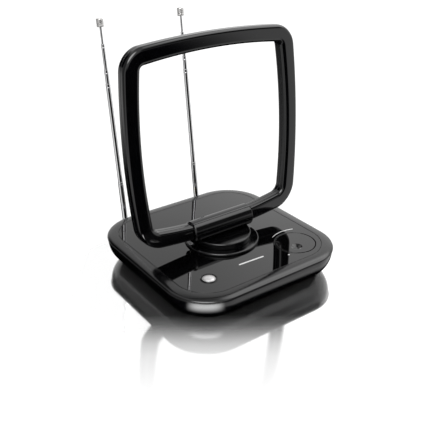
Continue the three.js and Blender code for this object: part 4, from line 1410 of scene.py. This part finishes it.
# ---------------------------------------------------------------- studio
@dataclass
class Studio:
    """The white surroundings, the pale floor with its soft mirror image, and the camera."""

    azimuth_deg: float = -35.99
    elevation_deg: float = 27.51
    distance: float = 0.63797
    target: tuple[float, float, float] = (-0.00433, -0.02079, 0.05331)
    lens: float = 56.39
    sensor: float = 36.0
    tent_radius: float = 1.6
    floor_radius: float = 3.0
    floor_lift: float = 0.16
    # The mirror's share of the floor: where its ramp starts and ends, the ramp's stops, and where it
    # has gone to nothing and where it is whole to either side.
    mirror_reach: tuple[float, float] = (-0.15, 0.35)
    mirror_stops: tuple[tuple[float, float], ...] = (
        (0.0, 0.0), (0.12, 0.0), (0.3, 0.98), (0.51, 0.98), (0.54, 0.87), (0.59, 0.45), (0.62, 0.3),
        (0.66, 0.22), (0.72, 0.1), (0.9, 0.0),
    )
    mirror_side: tuple[float, float] = (0.165, 0.1)
    glow_centre: tuple[float, float, float] = (-47.5, -68.3, -2.0)
    glow_near: float = 67.0
    glow_spread: float = 27.0
    glow_azimuth_deg: float = -38.0
    glow_angles: tuple[float, float] = (0.62, 0.05)
    glow_strength: float = 11.0

    def camera(self) -> None:
        """A camera above the front left corner of the base."""
        data = bpy.data.cameras.new("camera")
        data.lens, data.sensor_width = self.lens, self.sensor
        data.clip_start, data.clip_end = 0.01, 20.0
        camera = bpy.data.objects.new("camera", data)
        away = heading(self.azimuth_deg, self.elevation_deg)
        camera.location = Vector(self.target) + away * self.distance
        camera.rotation_euler = away.to_track_quat("Z", "Y").to_euler()
        bpy.context.collection.objects.link(camera)
        bpy.context.scene.camera = camera

    def world(self) -> None:
        """Even white light from everywhere."""
        world = bpy.data.worlds.new("white_room")
        world.use_nodes = True
        background = world.node_tree.nodes["Background"]
        background.inputs["Color"].default_value = (1, 1, 1, 1)
        background.inputs["Strength"].default_value = 1.06
        bpy.context.scene.world = world
        bpy.context.scene.view_settings.view_transform = "Standard"

    def floor(self) -> None:
        """A pale floor whose mirror image is strong beside the base and fades out in front of it.

        The mirror's share is a ramp over the distance from the middle towards the front left corner,
        times a smooth step over the distance to either side of that line.
        """
        weave = Weave("pale_floor")
        outwards = heading(self.azimuth_deg, 0.0)
        reach = weave.vector("DOT_PRODUCT", weave.coordinates, tuple(outwards), result="Value")
        ramp = weave.node("ShaderNodeValToRGB", {"Fac": weave.span(reach, 0, 1, *self.mirror_reach)})
        elements = ramp.color_ramp.elements
        for place, _ in self.mirror_stops[1:-1]:
            elements.new(place)
        for element, (place, value) in zip(elements, self.mirror_stops):
            element.position = place
            element.color = (value, value, value, 1)
        sideways = (-outwards.y, outwards.x, 0.0)
        aside = weave.vector("DOT_PRODUCT", weave.coordinates, sideways, result="Value")
        edge = weave.eased(weave.math("ABSOLUTE", aside), *self.mirror_side)
        amount = weave.math("MULTIPLY", ramp.outputs["Color"], edge)
        diffuse = weave.node("ShaderNodeBsdfDiffuse", {"Color": (0.97, 0.97, 0.97, 1)})
        lift = weave.emission(self.floor_lift)
        lifted = weave.node("ShaderNodeAddShader", {0: diffuse.outputs[0], 1: lift})
        mirror = weave.node("ShaderNodeBsdfGlossy", {"Color": (1, 1, 1, 1), "Roughness": 0.09})
        mix = weave.node("ShaderNodeMixShader", {0: amount, 1: lifted.outputs[0], 2: mirror.outputs[0]})
        weave.surface(mix.outputs[0])
        rings = np.array([0.0, 0.3, 1.0, self.floor_radius])
        floor = self.stage_mesh("floor", self.disc(rings, (0, 0, -FLOOR_DROP)), weave.material)
        floor.visible_glossy = False

    def tent(self) -> None:
        """What only polished surfaces see: a round tent, white above and behind, dark in front and below.

        Its brightness is a sum of smooth lobes of the direction from the object, worked out in the
        material from Object coordinates.
        """
        weave = Weave("tent_light")
        direction = weave.vector("NORMALIZE", weave.coordinates)
        total: object = 1.0
        for lobe in TENT_LOBES:
            towards = tuple(heading(lobe.azimuth_deg, lobe.elevation_deg))
            along = weave.vector("DOT_PRODUCT", direction, towards, result="Value")
            core, edge = math.cos(math.radians(lobe.core_deg)), math.cos(math.radians(lobe.edge_deg))
            total = weave.math("ADD", total, weave.eased(along, edge, core, lobe.amount))
        weave.surface(weave.emission(weave.math("MAXIMUM", total, 0.0)))
        polar = np.linspace(0, math.pi, 33)
        ball = turned(self.tent_radius * np.column_stack([np.sin(polar), np.cos(polar)]), 64)
        self.only_mirrored(self.stage_mesh("tent", ball.transpose(1, 0, 2), weave.material))

    def glow(self) -> None:
        """A soft curved patch of light below the floor that only the polished front left corner mirrors.

        Its strength is a bump over the distance from the corner's centre times a bump over the
        direction from there, both smooth steps.
        """
        weave = Weave("corner_glow")
        centre = tuple(Vector(self.glow_centre) * MM)
        near, spread = self.glow_near * MM, self.glow_spread * MM
        offset = weave.vector("SUBTRACT", weave.coordinates, centre)
        reach = weave.vector("LENGTH", offset, result="Value")
        off_line = weave.math("ABSOLUTE", weave.math("SUBTRACT", reach, near))
        outwards = tuple(heading(self.glow_azimuth_deg, 0.0))
        along = weave.vector("DOT_PRODUCT", weave.vector("NORMALIZE", offset), outwards, result="Value")
        wide, narrow = (math.cos(angle) for angle in self.glow_angles)
        bump = weave.math(
            "MULTIPLY", weave.eased(off_line, spread, spread * 0.1), weave.eased(along, wide, narrow),
        )
        clear = weave.node("ShaderNodeBsdfTransparent").outputs[0]
        light = weave.emission(weave.math("MULTIPLY", bump, self.glow_strength))
        weave.surface(weave.node("ShaderNodeAddShader", {0: light, 1: clear}).outputs[0])
        rings = np.array([0.0, 0.5, 1.0]) * (near + spread)
        self.only_mirrored(self.stage_mesh("corner_glow", self.disc(rings, centre), weave.material))

    @staticmethod
    def disc(rings: Array, centre: Sequence[float]) -> Array:
        """The grid of a level disc.

        Args:
            rings: The radii of its rings of points, from the middle out.
            centre: The middle of the disc.

        Returns:
            The points, as rings by 64 points in each by 3.
        """
        angle = np.linspace(0, 2 * math.pi, 65)[:-1]
        radius = rings[:, None]
        flat = np.stack([radius * np.cos(angle), radius * np.sin(angle), np.zeros((len(rings), 64))], axis=-1)
        return flat + np.array(centre)

    @staticmethod
    def only_mirrored(stand: bpy.types.Object) -> None:
        """Let a stage object be seen in polished surfaces and nowhere else."""
        stand.visible_camera = False
        stand.visible_diffuse = False
        stand.visible_shadow = False
        stand.visible_transmission = False

    @staticmethod
    def stage_mesh(name: str, grid: Array, material: bpy.types.Material) -> bpy.types.Object:
        """A stage object of a grid that closes round its second direction."""
        skin = Skin().grid(grid, loop_v=True)
        mesh = bpy.data.meshes.new(name)
        mesh.from_pydata(np.vstack(skin.points).tolist(), [], skin.faces)
        mesh.shade_smooth()
        mesh.materials.append(material)
        stand = bpy.data.objects.new(name, mesh)
        bpy.context.collection.objects.link(stand)
        return stand

    def build(self) -> None:
        """Set up the surroundings and the camera."""
        self.world()
        self.floor()
        self.tent()
        self.glow()
        self.camera()


@dataclass(frozen=True)
class Lobe:
    """A soft patch of the tent: lighter or darker than the rest, full inside its core."""

    azimuth_deg: float
    elevation_deg: float
    core_deg: float
    edge_deg: float
    amount: float


TENT_LOBES = (
    Lobe(180.0, -75.0, 44.0, 60.0, -1.0),
    Lobe(-120.0, -75.0, 44.0, 58.0, -1.0),
    Lobe(144.0, -40.0, 25.0, 42.0, -1.0),
    Lobe(10.0, -5.0, 20.0, 31.0, -1.0),
    Lobe(-30.0, -8.0, 20.0, 34.0, -1.0),
    Lobe(38.0, 32.0, 12.0, 22.0, -0.9),
    Lobe(-145.0, -35.0, 12.0, 28.0, -1.0),
    Lobe(-160.0, 28.0, 7.0, 23.0, -0.9),
    Lobe(-115.0, 25.0, 28.0, 46.0, -0.7),
    Lobe(155.0, 70.0, 8.0, 22.0, -0.4),
    Lobe(-44.0, 56.0, 10.0, 22.0, 7.0),
    Lobe(85.0, 52.0, 16.0, 26.0, 2.0),
    Lobe(120.0, 30.0, 8.0, 25.0, 0.35),
    Lobe(143.0, 15.0, 4.0, 20.0, 0.2),
)


def main() -> None:
    """Load the frame, build the antenna piece by piece and set up the studio."""
    logging.basicConfig(level=logging.INFO, format="%(message)s")
    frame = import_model()
    bench = Bench(frame)
    Studio().build()
    BaseCase(bench).build()
    Marks(bench).build()
    Controls(bench).build()
    Pedestal(bench).build()
    Loop(bench).build()
    for side in Side:
        Rod(bench, side).build()
    Insides(bench).build()


if __name__ == "__main__":
    main()
